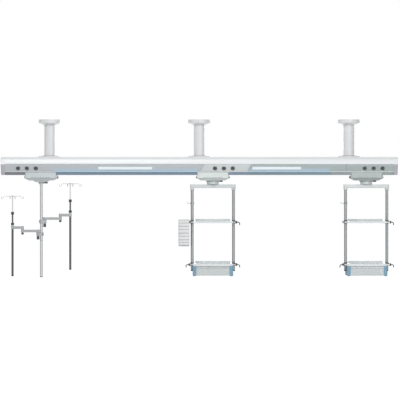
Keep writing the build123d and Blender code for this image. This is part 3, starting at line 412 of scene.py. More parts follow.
# %% [markdown]
# The beam and racks are lacquered metal and moulded plastic. Seen close, such a surface is never one
# flat colour: lacquer has a faint orange-peel ripple, drawn metal fine lines along its length, plastic
# a dull grain. All hold a little dust on top and smears where hands reach. One function builds such a
# finish from noise on Object coordinates, and each finish sets its own scale, grain and gloss. The
# front panel is made of lengths that meet at seams that lean thirty degrees. Its middle length is
# painted lighter and its right length darker, as painted light and shade, so the height times the
# seam's slope is taken off X before the colours are chosen.

# %% A finish from noise
DUST, DUST_SHARE = (0.66, 0.65, 0.62), 0.15


def finish(name, colour, rough, grain, bump, metal=0.0, mottle=0.03, stretch=(1, 1, 1), coat=0.0,
           gloss_shift=0.06, smear=0.08, specular=0.5, patches=(), lean=0.0):
    """Principled finish: colour mottled by broad noise, dust by how far a face looks up, smears in the
    gloss, and relief from fine noise.

    Patches are (axis, low, high, colour, roughness, metal) bands, and X there means x - lean * z.
    """
    material = bpy.data.materials.new(name)
    tree = node_tree(material)
    place = object_place(tree)
    spread = add(tree, "Mapping", {"Vector": place, "Scale": stretch}).outputs[0]
    broad = noise(tree, spread, 6.0, 4.0)
    fine = noise(tree, spread, grain, 3.0)
    hands = noise(tree, place, 19.0, 5.0, 1.2)
    dark, light = ((*(min(1.0, c * k) for c in colour), 1) for k in (1 - mottle, 1 + mottle))
    base = mixed(tree, broad, dark, light)
    gloss = maths(tree, "ADD", mapped(tree, fine, 0.0, 1.0, rough - gloss_shift, rough + gloss_shift),
                  mapped(tree, hands, 0.52, 0.7, 0.0, smear))
    plated = metal
    axes = split(tree, place) if patches else []
    if lean:
        axes[0] = maths(tree, "SUBTRACT", axes[0], maths(tree, "MULTIPLY", axes[2], lean))
    for axis, low, high, patch_colour, patch_rough, patch_metal in patches:
        inside = maths(tree, "MULTIPLY", maths(tree, "GREATER_THAN", axes[axis], low),
                       maths(tree, "LESS_THAN", axes[axis], high))
        base = mixed(tree, inside, base, (*patch_colour, 1))
        gloss = between(tree, inside, gloss, patch_rough)
        if patch_metal != metal:
            plated = between(tree, inside, plated, patch_metal)
    facing_up = split(tree, add(tree, "NewGeometry").outputs["Normal"])[2]
    dusty = maths(tree, "MULTIPLY", mapped(tree, facing_up, 0.5, 1.0, 0.0, DUST_SHARE), broad)
    relief = add(tree, "Bump", {"Height": fine, "Strength": bump, "Distance": 0.002})
    surface(tree, {"Base Color": mixed(tree, dusty, base, (*DUST, 1)), "Roughness": gloss,
                   "Metallic": plated, "Normal": relief.outputs[0], "Coat Weight": coat,
                   "Coat Roughness": 0.12, "Specular IOR Level": specular})
    return material


def dress(material, *names):
    """Give CAD nodes this one material."""
    for name in names:
        nodes[name].data.materials.clear()
        nodes[name].data.materials.append(material)


ALONG_X, ALONG_Z = (0.004, 1, 1), (1, 1, 0.003)
TUBE = dict(grain=900, stretch=ALONG_Z, bump=0.03, smear=0.02, gloss_shift=0.03)
BLACK = (0.022, 0.024, 0.026)
WHITE = (0.865, 0.885, 0.885)
NOSE_Z = -0.5612
SILVER_METAL, RAIL_METAL = 0.35, 0.5
SEAM_LEAN, SEAM_LEVEL = 0.5774, -0.6115
LEFT_SEAM, RIGHT_SEAM = (x - SEAM_LEAN * SEAM_LEVEL for x in (0.034, 0.621))
FAR = 9.0
white_lacquer = finish("white_lacquer", WHITE, rough=0.32, grain=260, bump=0.05, coat=0.25, mottle=0.012)
frame_aluminium = finish("frame_aluminium", (0.87, 0.88, 0.88), rough=0.4, metal=0.1, grain=900,
                         stretch=ALONG_X, bump=0.1)
# The patches paint the middle panel length lighter and the right length darker: painted light and shade.
panel_silver = finish(
    "panel_silver", (0.465, 0.485, 0.5), rough=0.4, metal=SILVER_METAL, grain=900, stretch=ALONG_X,
    bump=0.1, mottle=0.05, lean=SEAM_LEAN, patches=(
        (0, LEFT_SEAM, RIGHT_SEAM, (0.57, 0.605, 0.59), 0.4, SILVER_METAL),
        (0, RIGHT_SEAM, FAR, (0.375, 0.425, 0.415), 0.4, SILVER_METAL)))
# The rails' dark blue-grey is painted shade of their recess under the lip, with a painted blue reflection of
# the night lights. The bands make it greyer at both ends, beyond the lights.
rail_aluminium = finish(
    "rail_aluminium", (0.165, 0.218, 0.278), rough=0.38, metal=RAIL_METAL, grain=900, stretch=ALONG_X,
    bump=0.12, mottle=0.1, patches=(
        (0, -FAR, -2.0, (0.17, 0.18, 0.2), 0.4, RAIL_METAL),
        (0, 0.62, 1.64, (0.15, 0.205, 0.235), 0.38, RAIL_METAL),
        (0, 1.64, FAR, (0.2, 0.23, 0.23), 0.4, RAIL_METAL)))
cap_plastic = finish("cap_plastic", (0.46, 0.465, 0.52), rough=0.45, grain=1500, bump=0.12,
                     patches=((2, NOSE_Z, 0.0, WHITE, 0.4, 0.0),))
column_lacquer = finish("column_lacquer", (0.76, 0.76, 0.76), rough=0.3, grain=260, bump=0.05, coat=0.3)
plain_steel = finish("plain_steel", (0.5, 0.51, 0.52), rough=0.35, metal=0.9, grain=600, bump=0.12)
column_steel = finish("column_steel", (0.44, 0.45, 0.455), rough=0.24, metal=0.85, mottle=0.06, **TUBE)
pole_steel = finish("pole_steel", (0.085, 0.088, 0.09), rough=0.26, metal=0.85, mottle=0.08, **TUBE)
post_steel = finish("post_steel", (0.27, 0.28, 0.285), rough=0.26, metal=0.8, mottle=0.06, **TUBE)
arm_lacquer = finish("arm_lacquer", (0.4, 0.41, 0.415), rough=0.35, metal=0.25, grain=500, bump=0.1)
head_lacquer = finish("head_lacquer", (0.66, 0.69, 0.68), rough=0.36, grain=320, bump=0.08, metal=0.1)
rod_chrome = finish("rod_chrome", (0.46, 0.46, 0.47), rough=0.16, metal=1.0, grain=300, bump=0.03,
                    gloss_shift=0.04)
black_plastic = finish("black_plastic", BLACK, rough=0.45, grain=1800, bump=0.2, mottle=0.15)
rubber = finish("rubber", (0.045, 0.047, 0.05), rough=0.62, grain=1300, bump=0.25, mottle=0.2,
                specular=0.35)
knob_plastic = finish("knob_plastic", (0.07, 0.073, 0.075), rough=0.42, grain=1800, bump=0.15, mottle=0.12)
outlet_dark = finish("outlet_dark", (0.055, 0.062, 0.066), rough=0.35, grain=1300, bump=0.12)
outlet_ring = finish("outlet_ring", (0.52, 0.56, 0.58), rough=0.3, metal=0.55, grain=700, bump=0.06)
outlet_collar = finish("outlet_collar", (0.16, 0.17, 0.175), rough=0.3, metal=0.8, grain=700, bump=0.05)
shelf_lacquer = finish("shelf_lacquer", (0.78, 0.81, 0.81), rough=0.38, grain=420, bump=0.14, mottle=0.025)
mat_rubber = finish("mat_rubber", (0.5, 0.53, 0.53), rough=0.6, grain=1300, bump=0.15, mottle=0.05)
corner_blue = finish("corner_blue", (0.19, 0.36, 0.48), rough=0.36, grain=1300, bump=0.12, mottle=0.05)
drawer_lacquer = finish("drawer_lacquer", (0.62, 0.655, 0.645), rough=0.36, grain=420, bump=0.12)
basket_coat = finish("basket_coat", (0.5, 0.51, 0.52), rough=0.42, grain=700, bump=0.1)
copper = finish("copper", (0.75, 0.36, 0.22), rough=0.3, metal=1.0, grain=500, bump=0.06, stretch=ALONG_X)

RACKS, SHELVES = ("middle", "right"), ("upper", "lower")
print(len(bpy.data.materials), "finishes")
dress(white_lacquer, "fascia_covers")
dress(frame_aluminium, "beam_frame")
dress(panel_silver, "front_panels", "rear_panel")
dress(rail_aluminium, "carriage_rails")
dress(cap_plastic, "end_caps")
dress(column_lacquer, "ceiling_covers", "support_columns", "column_feet")
dress(plain_steel, "ceiling_plates", "column_bolts", "left_trolley", "middle_trolley", "right_trolley")
dress(column_steel, "iv_column_tube", "column_head")
dress(black_plastic, "column_end_cap")
dress(copper, "gas_pipes")
for level in ("upper", "lower"):
    dress(pole_steel, f"{level}_pole_tube")
    dress(arm_lacquer, f"{level}_inner_arm", f"{level}_outer_arm")
for name in RACKS:
    dress(post_steel, f"{name}_rack_posts", f"{name}_post_hook")
    dress(head_lacquer, f"{name}_rack_head")
    dress(black_plastic, f"{name}_shelf_collars")
    dress(shelf_lacquer, f"{name}_upper_shelf", f"{name}_lower_shelf")
    dress(corner_blue, f"{name}_corner_posts")
    dress(drawer_lacquer, f"{name}_drawer")

# %% [markdown]
# A carriage housing is pale moulded plastic with black rubber bumpers on its ends. A brake lever is a
# pale ring with a black grip, and an accessory rail is steel with black handles outside it. In CAD
# each is one node, so their materials change colour past a distance from the carriage's own axis.

# %% Two-coloured nodes
station = {name: sum(box(f"{name}_trolley"))[0] / 2 for name in ("left", *RACKS)}
BUMPER_FROM, HANDLE_FROM = 0.2022, 0.2934
# The three housings are one plastic. The middle one is painted lighter and the right one darker, as painted
# light and shade.
HOUSING_LIGHT_AND_SHADE = {"left": (0.62, 0.66, 0.66), "middle": (0.74, 0.79, 0.76), "right": (0.48, 0.53, 0.51)}
LEVER_REACH = {"left": 0.0846, "middle": 0.1296, "right": 0.1296}
LEVER_TURN = np.radians(-20.0)


def past(centre, distance, *look):
    """Two bands along X, beyond a distance on either side of centre, with the same look."""
    return (0, centre + distance, FAR, *look), (0, -FAR, centre - distance, *look)


for name, x in station.items():
    dress(finish(f"{name}_housing_plastic", HOUSING_LIGHT_AND_SHADE[name], rough=0.42, grain=1500, bump=0.08,
                 patches=past(x, BUMPER_FROM, (0.04, 0.042, 0.045), 0.6, 0.0)), f"{name}_housing")
    grip_x = x + LEVER_REACH[name] * np.cos(LEVER_TURN) - 0.004
    dress(finish(f"{name}_lever_plastic", (0.5, 0.53, 0.52), rough=0.4, grain=1500, bump=0.1,
                 patches=((0, grip_x, FAR, BLACK, 0.5, 0.0),)), f"{name}_brake_lever")
    if name in RACKS:
        steel = finish(f"{name}_rail_steel", (0.42, 0.43, 0.44), rough=0.3, metal=0.8, grain=900, bump=0.04,
                       stretch=(1, 0.03, 1), patches=past(x, HANDLE_FROM, BLACK, 0.5, 0.0))
        dress(steel, f"{name}_side_rails")
print("carriage axes", station)

# %% [markdown]
# The lamps are on. An opal cover over a lamp glows evenly across its middle and falls off near its
# edges, and its fine lengthwise prisms show as lines. So its glow comes from the height on the panel,
# with a ripple of relief across it. The night light also tints the lower edge of the panel blue. A
# lamp so close would need many samples, so that tint is blended into the panel's own colour.

# %% Glowing covers
def glow(name, colour, strength, centre_z, half_height, edge, prisms):
    """Opal plastic that glows most at centre_z and fades to the share edge at half_height from it.

    The fade is a smooth step, and the prisms are the sine of the height times prisms.
    """
    material = bpy.data.materials.new(name)
    tree = node_tree(material)
    place = object_place(tree)
    height = split(tree, place)[2]
    off = maths(tree, "ABSOLUTE", maths(tree, "SUBTRACT", height, centre_z))
    fade = mapped(tree, off, 0.0, half_height, strength, strength * edge, interpolation_type="SMOOTHSTEP")
    cloud = mapped(tree, noise(tree, place, 3.0, 3.0), 0.0, 1.0, 0.88, 1.08)
    lines = maths(tree, "SINE", maths(tree, "MULTIPLY", height, prisms))
    relief = add(tree, "Bump", {"Height": lines, "Strength": 0.35, "Distance": 0.0006})
    surface(tree, {"Base Color": (*colour, 1), "Roughness": 0.35, "Emission Color": (*colour, 1),
                   "Emission Strength": maths(tree, "MULTIPLY", fade, cloud), "Normal": relief.outputs[0]})
    return material


def spill(material, colour, none_z, full_z, spans, soft):
    """Blend a finish to another colour as height falls from none_z to full_z, inside spans of X.

    The share is a smooth step of the height times, for the nearest span, a ramp that ends soft metres
    beyond it. It is the light that a strip throws on the metal beside it.
    """
    tree = material.node_tree
    x, _, z = split(tree, object_place(tree))
    share = 0.0
    for low, high in spans:
        off = maths(tree, "ABSOLUTE", maths(tree, "SUBTRACT", x, (low + high) / 2))
        half = (high - low) / 2
        share = maths(tree, "MAXIMUM", share, mapped(tree, off, half, half + soft, 1.0, 0.0))
    fall = mapped(tree, z, none_z, full_z, interpolation_type="SMOOTHSTEP")
    coloured = tree.nodes["Principled BSDF"].inputs["Base Color"]
    base = coloured.links[0].from_socket
    tree.links.new(mixed(tree, maths(tree, "MULTIPLY", share, fall), base, (*colour, 1)), coloured)


NIGHT_SPANS = (-1.79, -0.03), (0.66, 1.6)
spill(panel_silver, (0.42, 0.52, 0.6), -0.59, -0.638, NIGHT_SPANS, 0.06)
dress(glow("lamp_glow", (0.69, 0.76, 0.78), 0.36, -0.608, 0.024, 0.2, 2200.0), "lamp_diffusers")
dress(glow("night_glow", (0.48, 0.64, 0.73), 0.44, -0.654, 0.004, 0.6, 3000.0), "night_light_strips")
print("night lights span X", NIGHT_SPANS)

# %% [markdown]
# The rest of the notebook adds what the plain solids lack. Each new piece rides on the same CAD body
# as the part it sits on, so it follows when an arm turns or a carriage slides.

# %% Bodies and mounts
record = frame["record"]
home = {node: body for body, names in record["behaviour"]["bodies"].items() for node in names}
mounts = {mount["name"]: mount for mount in record["mounts"]}
columns = [mounts[f"{side}_ceiling_anchors"]["pos_m"][0] for side in ("left", "middle", "right")]


def fit(name, parts, materials, node, instead=False):
    """Make a piece that rides with a CAD node's body, and hide the node it stands for."""
    made = piece(name, parts, materials)
    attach(made, home[node])
    if instead:
        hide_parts(node)
    print(name, len(made.data.polygons), "faces")


# %% [markdown]
# A gas outlet is a dark round plate in a thin bright ring, with a dark body on it, a knurled release
# collar and a socket for the probe. All are turned parts, so each is an outline in millimetres swept
# about the outlet's own axis, which leans down with the panel. Height zero is the socket's mouth.

# %% Gas outlets
PLATE = [(19, -18.1), (27, -18.1), (27, -14.2), (26.4, -13.8), (23.6, -13.6), (19, -13.6)]
RING = [(26.6, -18.1), (27.8, -18.1), (28, -17.6), (28, -15), (27.5, -14.1), (26.9, -13.9),
        (26.6, -14.4)]
BODY = [(0, -62), (6, -62), (6, -48), (19, -48), (19, -18), (22.6, -18), (22.6, -12.6), (21.9, -11.8),
        (21.6, -4.5), (20.6, -2.9), (17.2, -2.4), (16.8, -4.6), (11.4, -4.6), (10.8, -4), (10.6, -0.7),
        (9.9, 0), (7.7, 0), (6.6, -1.1), (6.5, -18), (0, -18)]
COLLAR = [(11.9, -4.4), (16.3, -4.4), (16.6, -3.6), (16.6, -0.9), (15.9, -0.1), (12.6, -0.1), (11.9, -0.8)]
parts = []
for name, mount in mounts.items():
    if "_outlet_" in name:
        for outline, kind, steps, flutes in ((PLATE, 0, 56, 0), (RING, 1, 56, 0), (BODY, 0, 40, 0),
                                             (COLLAR, 2, 120, 30)):
            parts.append(lathe(np.array(outline) / 1000, mount["pos_m"], mount["axis"], steps, flutes,
                               0.0009, (-0.0037, -0.0008), kind))
fit("gas_outlet_fronts", parts, [outlet_dark, outlet_ring, outlet_collar], "gas_outlets",
    instead=True)

# %% [markdown]
# Each lamp window has a slim bright frame. It is a thin bar led round a rectangle with round corners
# that lies on the sloping panel. Rubber beads close the long joints of the covers, above the panels
# and along the lip, and the end caps are held by four screws each.

# %% Lamp frames, seam beads and cap screws
SLOPE_OUT = np.array(mounts["left_outlet_1"]["axis"])
SLOPE_UP = np.cross(SLOPE_OUT, (-1.0, 0.0, 0.0))
SLOPE_UP *= np.sign(SLOPE_UP[2])
OUTLET_DEPTH = 0.018
SLOPE_CENTRE = np.array(mounts["left_outlet_1"]["pos_m"]) - OUTLET_DEPTH * SLOPE_OUT
LAMP_LENGTHS = {-0.922: 0.675, 0.965: 0.606}
parts = []
for x, length in LAMP_LENGTHS.items():
    frame_line = outline_rect(length + 0.006, 0.046, 0.005)
    middle = np.array((x, *SLOPE_CENTRE[1:])) + 0.0006 * SLOPE_OUT
    parts.append(bar(placed(frame_line, middle, (1, 0, 0), SLOPE_UP), 0.0019, 10, closed=True))
    parts += [screw(middle + (side * (length / 2 + 0.012), 0, 0), SLOPE_OUT, 0.0028) for side in (-1, 1)]
fit("lamp_frames", parts, [outlet_ring], "front_panels")

body_half = box("fascia_covers")[1][0]
nose_y = -box("front_panels")[0][1]
LIP_Y, LIP_Z = 0.1722, -0.65
parts = []
for side in (-1, 1):
    for y, z, radius in ((nose_y - 0.0045, NOSE_Z, 0.0015), (LIP_Y, LIP_Z, 0.001)):
        parts.append(bar([(x, side * y, z) for x in np.linspace(-body_half, body_half, 9)], radius, 8))
fit("seam_beads", parts, [rubber], "beam_frame")

cap_end = box("end_caps")[1][0]
parts = [screw((side * cap_end, y, z), (side, 0, 0), 0.0045)
         for side in (-1, 1) for y, z in ((-0.12, -0.5), (0.12, -0.5), (-0.135, -0.625), (0.135, -0.625))]
fit("cap_screws", parts, [plain_steel], "end_caps")

# %% [markdown]
# Where a column meets its ceiling cover and its foot, a soft ring hides the joint: a small circle
# carried round the column. The covers are two half shells, held by pan-head screws on their rims,
# with a seam line down each side.

# %% Column rings and cover screws
COLUMN_RADIUS, COVER_RADIUS = 0.0685, 0.1375
rings, screws = [], []
for x in columns:
    for z, thick in ((-0.0668, 0.0026), (-0.4575, 0.0032)):
        rings.append(hoop((x, 0, z), COLUMN_RADIUS + 0.0012, thick, 10))
    for angle in np.radians((40, 140, 220, 320)):
        out = np.array((np.cos(angle), np.sin(angle), 0))
        screws.append(screw(out * COVER_RADIUS + (x, 0, -0.021), out))
    for edge in (x - COVER_RADIUS - 0.0001, x + COVER_RADIUS + 0.0001):
        screws.append(bar([(edge, 0, z) for z in (-0.0015, -0.02, -0.0415)], 0.0009, 6, kind=1))
fit("column_rings", rings, [rubber], "column_feet")
fit("cover_screws", screws, [plain_steel, rubber], "ceiling_covers")

# %% [markdown]
# A carriage housing is moulded in an upper band and a lower tub. A dark joint runs round it between
# them, two screws hold it at the front and the back, and a short row of slots lets the brake's air
# out. The brake lever has a soft fluted sleeve.

# %% Carriage details
HOUSING_HALF = 0.158
for name, x in station.items():
    housing_foot = heights(f"{name}_housing")[0]
    joint_z = housing_foot + (0.048 if name == "left" else 0.028)
    joint_line = placed(outline_rect(0.404, 2 * HOUSING_HALF, 0.03, 8), (x, 0, joint_z))
    parts = [bar(joint_line, 0.0013, 8, closed=True, kind=1)]
    for side in (-1, 1):
        for dx in (-0.165, 0.165):
            parts.append(screw((x + dx, side * HOUSING_HALF, joint_z + 0.045), (0, side, 0), 0.0042))
        for k in range(7):
            place = (x - 0.105 + 0.035 * k, side * HOUSING_HALF, joint_z + 0.012)
            parts.append(slab(outline_rect(0.022, 0.0036, 0.0017), -0.0006, 0.0007, 0.0004, upright(side),
                              place, 1))
    fit(f"{name}_housing_details", parts, [plain_steel, rubber], f"{name}_housing")

    out = np.array((np.cos(LEVER_TURN), np.sin(LEVER_TURN), 0.0))
    grip_z = housing_foot - 0.0003 - 0.008
    sleeve = np.array([(0, 0), (6.0, 0.2), (8.4, 2.5), (8.4, 34), (7.6, 38), (7.0, 38), (0, 38)]) / 1000
    sleeve = np.concatenate([sleeve[:3], [(0.0084, z) for z in np.linspace(0.004, 0.032, 15)], sleeve[3:]])
    parts = [lathe(sleeve, out * (LEVER_REACH[name] + 0.001) + (x, 0, grip_z), -out, 60, 10, 0.0012,
                   (0.0035, 0.033))]
    fit(f"{name}_lever_sleeve", parts, [rubber], f"{name}_brake_lever")

# %% [markdown]
# The arm clamps and knobs are the parts that hands use, so they get their real forms. A cast clamp is
# the hull of two circles with soft edges. A knob is a turned outline whose radius waves in and out
# between finger grooves. One more such collar holds each pole on its outer arm.

# %% Arm clamps and knobs
PIVOT_CAP = [(0, -0.001), (0.0128, -0.001), (0.0128, 0.0008), (0.0118, 0.0022), (0.0085, 0.003),
             (0.0045, 0.0031), (0.004, 0.0012), (0, 0.0012)]
KNOB_END = [(0, -0.0918), (0.0075, -0.0916), (0.0085, -0.09), (0, -0.09)]
column_x = station["left"]
CLAMP_REACH, ELBOW_REACH, POLE_REACH = 0.042, 0.237, 0.362
ARM_SIDE = {"upper": 1, "lower": -1}


def knob(centre, foot, top, radius, lobes, bore=0.0, kind=0):
    """Fluted hand knob between two heights: soft shoulders, and grooves along its side."""
    height = top - foot
    side = [(radius, foot + height * share) for share in np.linspace(0.16, 0.84, 11)]
    outline = [(bore, foot), (radius * 0.72, foot), (radius * 0.93, foot + height * 0.06), *side,
               (radius * 0.93, top - height * 0.06), (radius * 0.72, top), (bore, top)]
    return lathe(outline, (*centre, 0), (0, 0, 1), lobes * 10, lobes, radius * 0.13,
                 (foot + height * 0.15, top - height * 0.15), kind)


parts = []
for level, side in ARM_SIDE.items():
    top = heights(f"{level}_inner_arm")[0] - 0.0003
    outline = outline_circles([(0, 0, 0.029), (side * CLAMP_REACH, 0, 0.022)])
    parts.append(slab(outline, top - 0.044, top, 0.0035, centre=(column_x, 0, 0)))
    for z in (top - 0.013, top - 0.031):
        parts.append(screw((column_x + side * 0.016, -0.0272, z), (side * 0.16, -1, 0), 0.0046, 1))
    parts.append(slab(outline_rect(0.0014, 0.03, 0.0006), top - 0.0405, top - 0.0035, 0.0003,
                      centre=(column_x - side * 0.0155, -0.0135, 0), kind=2))
    pivot = (column_x + side * CLAMP_REACH, 0)
    parts += [lathe(stub(0.0125, -0.046, -0.0435), (*pivot, top), kind=1),
              knob(pivot, top - 0.0903, top - 0.046, 0.018, 7, kind=2),
              lathe(KNOB_END, (*pivot, top), kind=1)]
fit("arm_clamp_castings", parts, [arm_lacquer, plain_steel, knob_plastic], "arm_clamps",
    instead=True)

for level, side in ARM_SIDE.items():
    inner_foot, inner_top = heights(f"{level}_inner_arm")
    outer_top = heights(f"{level}_outer_arm")[1]
    elbow = (column_x + side * ELBOW_REACH, 0)
    pole = (column_x + side * POLE_REACH, 0)
    parts = [knob(elbow, heights(f"{level}_elbow_knob")[0], inner_foot - 0.0022, 0.0165, 6),
             lathe(stub(0.0115, -0.0024, 0.0005), (*elbow, inner_foot), kind=1)]
    fit(f"{level}_elbow_knob_fluted", parts, [knob_plastic, plain_steel], f"{level}_elbow_knob",
        instead=True)

    parts = [lathe(PIVOT_CAP, (column_x + side * CLAMP_REACH, 0, inner_top), steps=36)]
    for dx in (0.085, 0.185):
        parts.append(screw((column_x + side * dx, -0.02, (inner_foot + inner_top) / 2), (0, -1, 0), 0.0036))
    fit(f"{level}_inner_arm_caps", parts, [plain_steel], f"{level}_inner_arm")

    cap_z = outer_top - 0.015
    parts = [lathe(PIVOT_CAP, (*elbow, cap_z), steps=36),
             screw((column_x + side * 0.3, -0.018, cap_z - 0.0175), (0, -1, 0), 0.0036),
             screw((pole[0], -0.017, outer_top - 0.0075), (0, -1, 0), 0.0032),
             knob(pole, outer_top - 0.0005, outer_top + 0.0265, 0.0205, 8, bore=0.0143, kind=1)]
    fit(f"{level}_outer_arm_caps", parts, [plain_steel, black_plastic], f"{level}_outer_arm")

# %% [markdown]
# A pole's rod ends in a hub with four hooks. Each is a bent wire with a ball on its end, led along one
# path that is turned a quarter further for the next. The lock knob under it is fluted as the others
# are, and a rubber foot closes the pole tube.

# %% Poles, lock knobs and hook heads
HOOK_TURN = np.radians(18.0)
HOOK = rounded([(0.007, 0), (0.11, 0), (0.1235, -0.034), (0.1405, -0.034), (0.1415, -0.01)], 0.0085, 7)
TUBE_FOOT = [(0, -0.0045), (0.009, -0.0045), (0.0138, -0.0015), (0.0146, 0.003), (0.0146, 0.012),
             (0.014, 0.013), (0, 0.013)]
for level, side in ARM_SIDE.items():
    pole = (column_x + side * POLE_REACH, 0)
    knob_foot, knob_top = heights(f"{level}_pole_knob")
    parts = [knob(pole, knob_foot, knob_top - 0.003, 0.019, 8, bore=0.0074),
             lathe([(0.0074, -0.003), (0.0122, -0.003), (0.0118, -0.0005), (0.01, 0), (0.0074, 0)],
                   (*pole, knob_top), kind=1)]
    fit(f"{level}_lock_knob_fluted", parts, [black_plastic, plain_steel], f"{level}_pole_knob",
        instead=True)

    rod_foot, rod_top = heights(f"{level}_pole_rod")
    hook_z = rod_top - 0.007
    hub = (*pole, hook_z)
    rod = [(0, rod_foot), (0.0058, rod_foot), (0.007, rod_foot + 0.0012), (0.007, hook_z - 0.0075),
           (0.0105, hook_z - 0.007), (0.012, hook_z - 0.0052), (0.012, hook_z + 0.0048),
           (0.01, hook_z + 0.0068), (0.0055, hook_z + 0.0078), (0, hook_z + 0.008)]
    parts = [lathe(rod, (*pole, 0), steps=36)]
    for quarter in range(4):
        angle = HOOK_TURN + quarter * np.pi / 2
        out = np.array((np.cos(angle), np.sin(angle), 0))
        path = placed(HOOK, hub, out, (0, 0, 1))
        parts += [bar(path, 0.0034, 14), ball(path[-1], 0.0052),
                  lathe(stub(0.0052, 0.0105, 0.0175), hub, out, 20)]
    fit(f"{level}_hook_head", parts, [rod_chrome], f"{level}_pole_rod", instead=True)

    foot = lathe(TUBE_FOOT, (*pole, heights(f"{level}_pole_tube")[0]))
    fit(f"{level}_pole_foot", [foot], [rubber], f"{level}_pole_tube")

# %% [markdown]
# The column tube ends in a black cap, and a bright ring closes it below the carriage. Under the lower
# clamp lies the stop ring in its groove.

# %% Infusion column rings
parts = [lathe([(0.019, -0.0075), (0.0212, -0.007), (0.0218, -0.004), (0.0216, -0.0006),
                (0.019, -0.0004)], (column_x, 0, heights("column_head")[0])),
         lathe([(0.0184, -0.0112), (0.0204, -0.0112), (0.0208, -0.0098), (0.0204, -0.0084),
                (0.0184, -0.0084)], (column_x, 0, heights("arm_clamps")[0]), kind=1)]
fit("column_tube_rings", parts, [plain_steel, black_plastic], "iv_column_tube")

# %% [markdown]
# A rack's posts end in black plugs. Its collars are split rings drawn tight by two screws, and the
# shelves carry a ribbed mat. A mat's height is a wave across its depth that falls to nothing at the
# rim, so the ribs are in the mesh and not only in the finish.

# %% Rack posts, collars and mats
POST_REACH = 0.259
PLUG = [(0, -0.005), (0.013, -0.005), (0.0182, -0.0022), (0.0195, 0.0012), (0.0195, 0.011),
        (0.0188, 0.012), (0, 0.012)]
SHELF_RIM = 0.024
shelf_top = {(name, shelf): heights(f"{name}_{shelf}_shelf")[1] - SHELF_RIM
             for name in RACKS for shelf in SHELVES}


def ribbed_mat(centre, length, width, low, thick, pitch, depth):
    """Mat with a flat foot at low, whose top waves by depth * sin^2(pi y / pitch), faded at its rims."""
    across = np.linspace(-width / 2, width / 2, int(width / pitch * 6) + 1)
    along = np.linspace(-length / 2, length / 2, 5)
    rim = np.clip((width / 2 - np.abs(across)) / 0.004, 0, 1)
    top = low + thick * np.clip(rim * 4, 0, 1) - depth * np.sin(np.pi * across / pitch) ** 2 * rim
    rows = [np.stack([np.full_like(across, x), across, top], 1) for x in along]
    foot = np.stack([np.full_like(across, along[-1]), across, np.full_like(across, low)], 1)
    rows = [foot * (-1, 1, 1), *rows, foot]
    count = len(across)
    faces = grid_faces(len(rows), count, closed_rows=True, closed_columns=False)
    start = np.arange(len(rows)) * count
    points = np.concatenate(rows) + (*centre, 0)
    return points, [faces, start, start[::-1] + count - 1], 0


for name in RACKS:
    x = station[name]
    post_foot = heights(f"{name}_rack_posts")[0]
    parts = [lathe(PLUG, (x + side * POST_REACH, 0, post_foot)) for side in (-1, 1)]
    fit(f"{name}_post_plugs", parts, [black_plastic], f"{name}_rack_posts")

    parts = []
    for side in (-1, 1):
        post = x + side * POST_REACH
        for dx in (-0.012, 0.012):
            parts += [screw((post + dx, out * 0.038, -0.835), (0, out, 0), 0.0036) for out in (-1, 1)]
        parts.append(hoop((post, 0, -0.8815), 0.0256, 0.0012, kind=1))
    parts.append(hoop((x, 0, -0.8105), 0.0752, 0.0016, kind=1))
    fit(f"{name}_head_details", parts, [plain_steel, rubber], f"{name}_rack_head")

    parts = []
    for shelf in SHELVES:
        top = shelf_top[name, shelf]
        for side in (-1, 1):
            post = x + side * POST_REACH
            for z in (top + 0.0035, top - 0.0185):
                parts.append(screw((post + side * 0.0075, -0.023, z), (side * 0.3, -1, 0), 0.0034))
            parts.append(slab(outline_rect(0.0012, 0.01, 0.0005), top - 0.0295, top - 0.0085, 0.0003,
                              centre=(post, -0.0205, 0), kind=1))
    fit(f"{name}_collar_screws", parts, [plain_steel, rubber], f"{name}_shelf_collars")

    for shelf in SHELVES:
        mat = ribbed_mat((x, -0.008), 0.42, 0.34, shelf_top[name, shelf] - 0.0002, 0.002, 0.008, 0.0009)
        fit(f"{name}_{shelf}_mat", [mat], [mat_rubber], f"{name}_{shelf}_shelf")

# %% [markdown]
# The lower shelf carries a drawer cabinet between four blue posts. The drawer has a drawn grip strip
# along the top of its front, whose section is a small hook, and a lock. The accessory rails end in
# black caps.

# %% Drawer, cabinet and rail details
GRIP = np.array([(-0.1995, -0.0006), (-0.2055, -0.0006), (-0.2085, -0.0022), (-0.2092, -0.0052),
                 (-0.2086, -0.0092), (-0.207, -0.0094), (-0.207, -0.0058), (-0.2058, -0.0034),
                 (-0.203, -0.0028), (-0.1995, -0.0028)])
GRIP_HALF, FRONT_TOP, FRONT_Y = 0.207, -1.842, -0.2
LOCK = [(0, -0.001), (0.0105, -0.001), (0.0105, 0.0012), (0.0095, 0.0022), (0.007, 0.0025),
        (0.0066, 0.0016), (0, 0.0016)]
FOOT = [(0, -0.0065), (0.012, -0.0065), (0.014, -0.0045), (0.015, 0.001), (0, 0.001)]
RAIL_DROP = 0.0125


def drawn(section, start, end):
    """A closed (y, z) section carried straight along X, with flat ends."""
    points = np.concatenate([placed(section, (x, 0, 0), (0, 1, 0), (0, 0, 1)) for x in (start, end)])
    count = len(section)
    ends = [np.arange(count), np.arange(count, 2 * count)[::-1]]
    return points, [grid_faces(2, count), *ends], 0


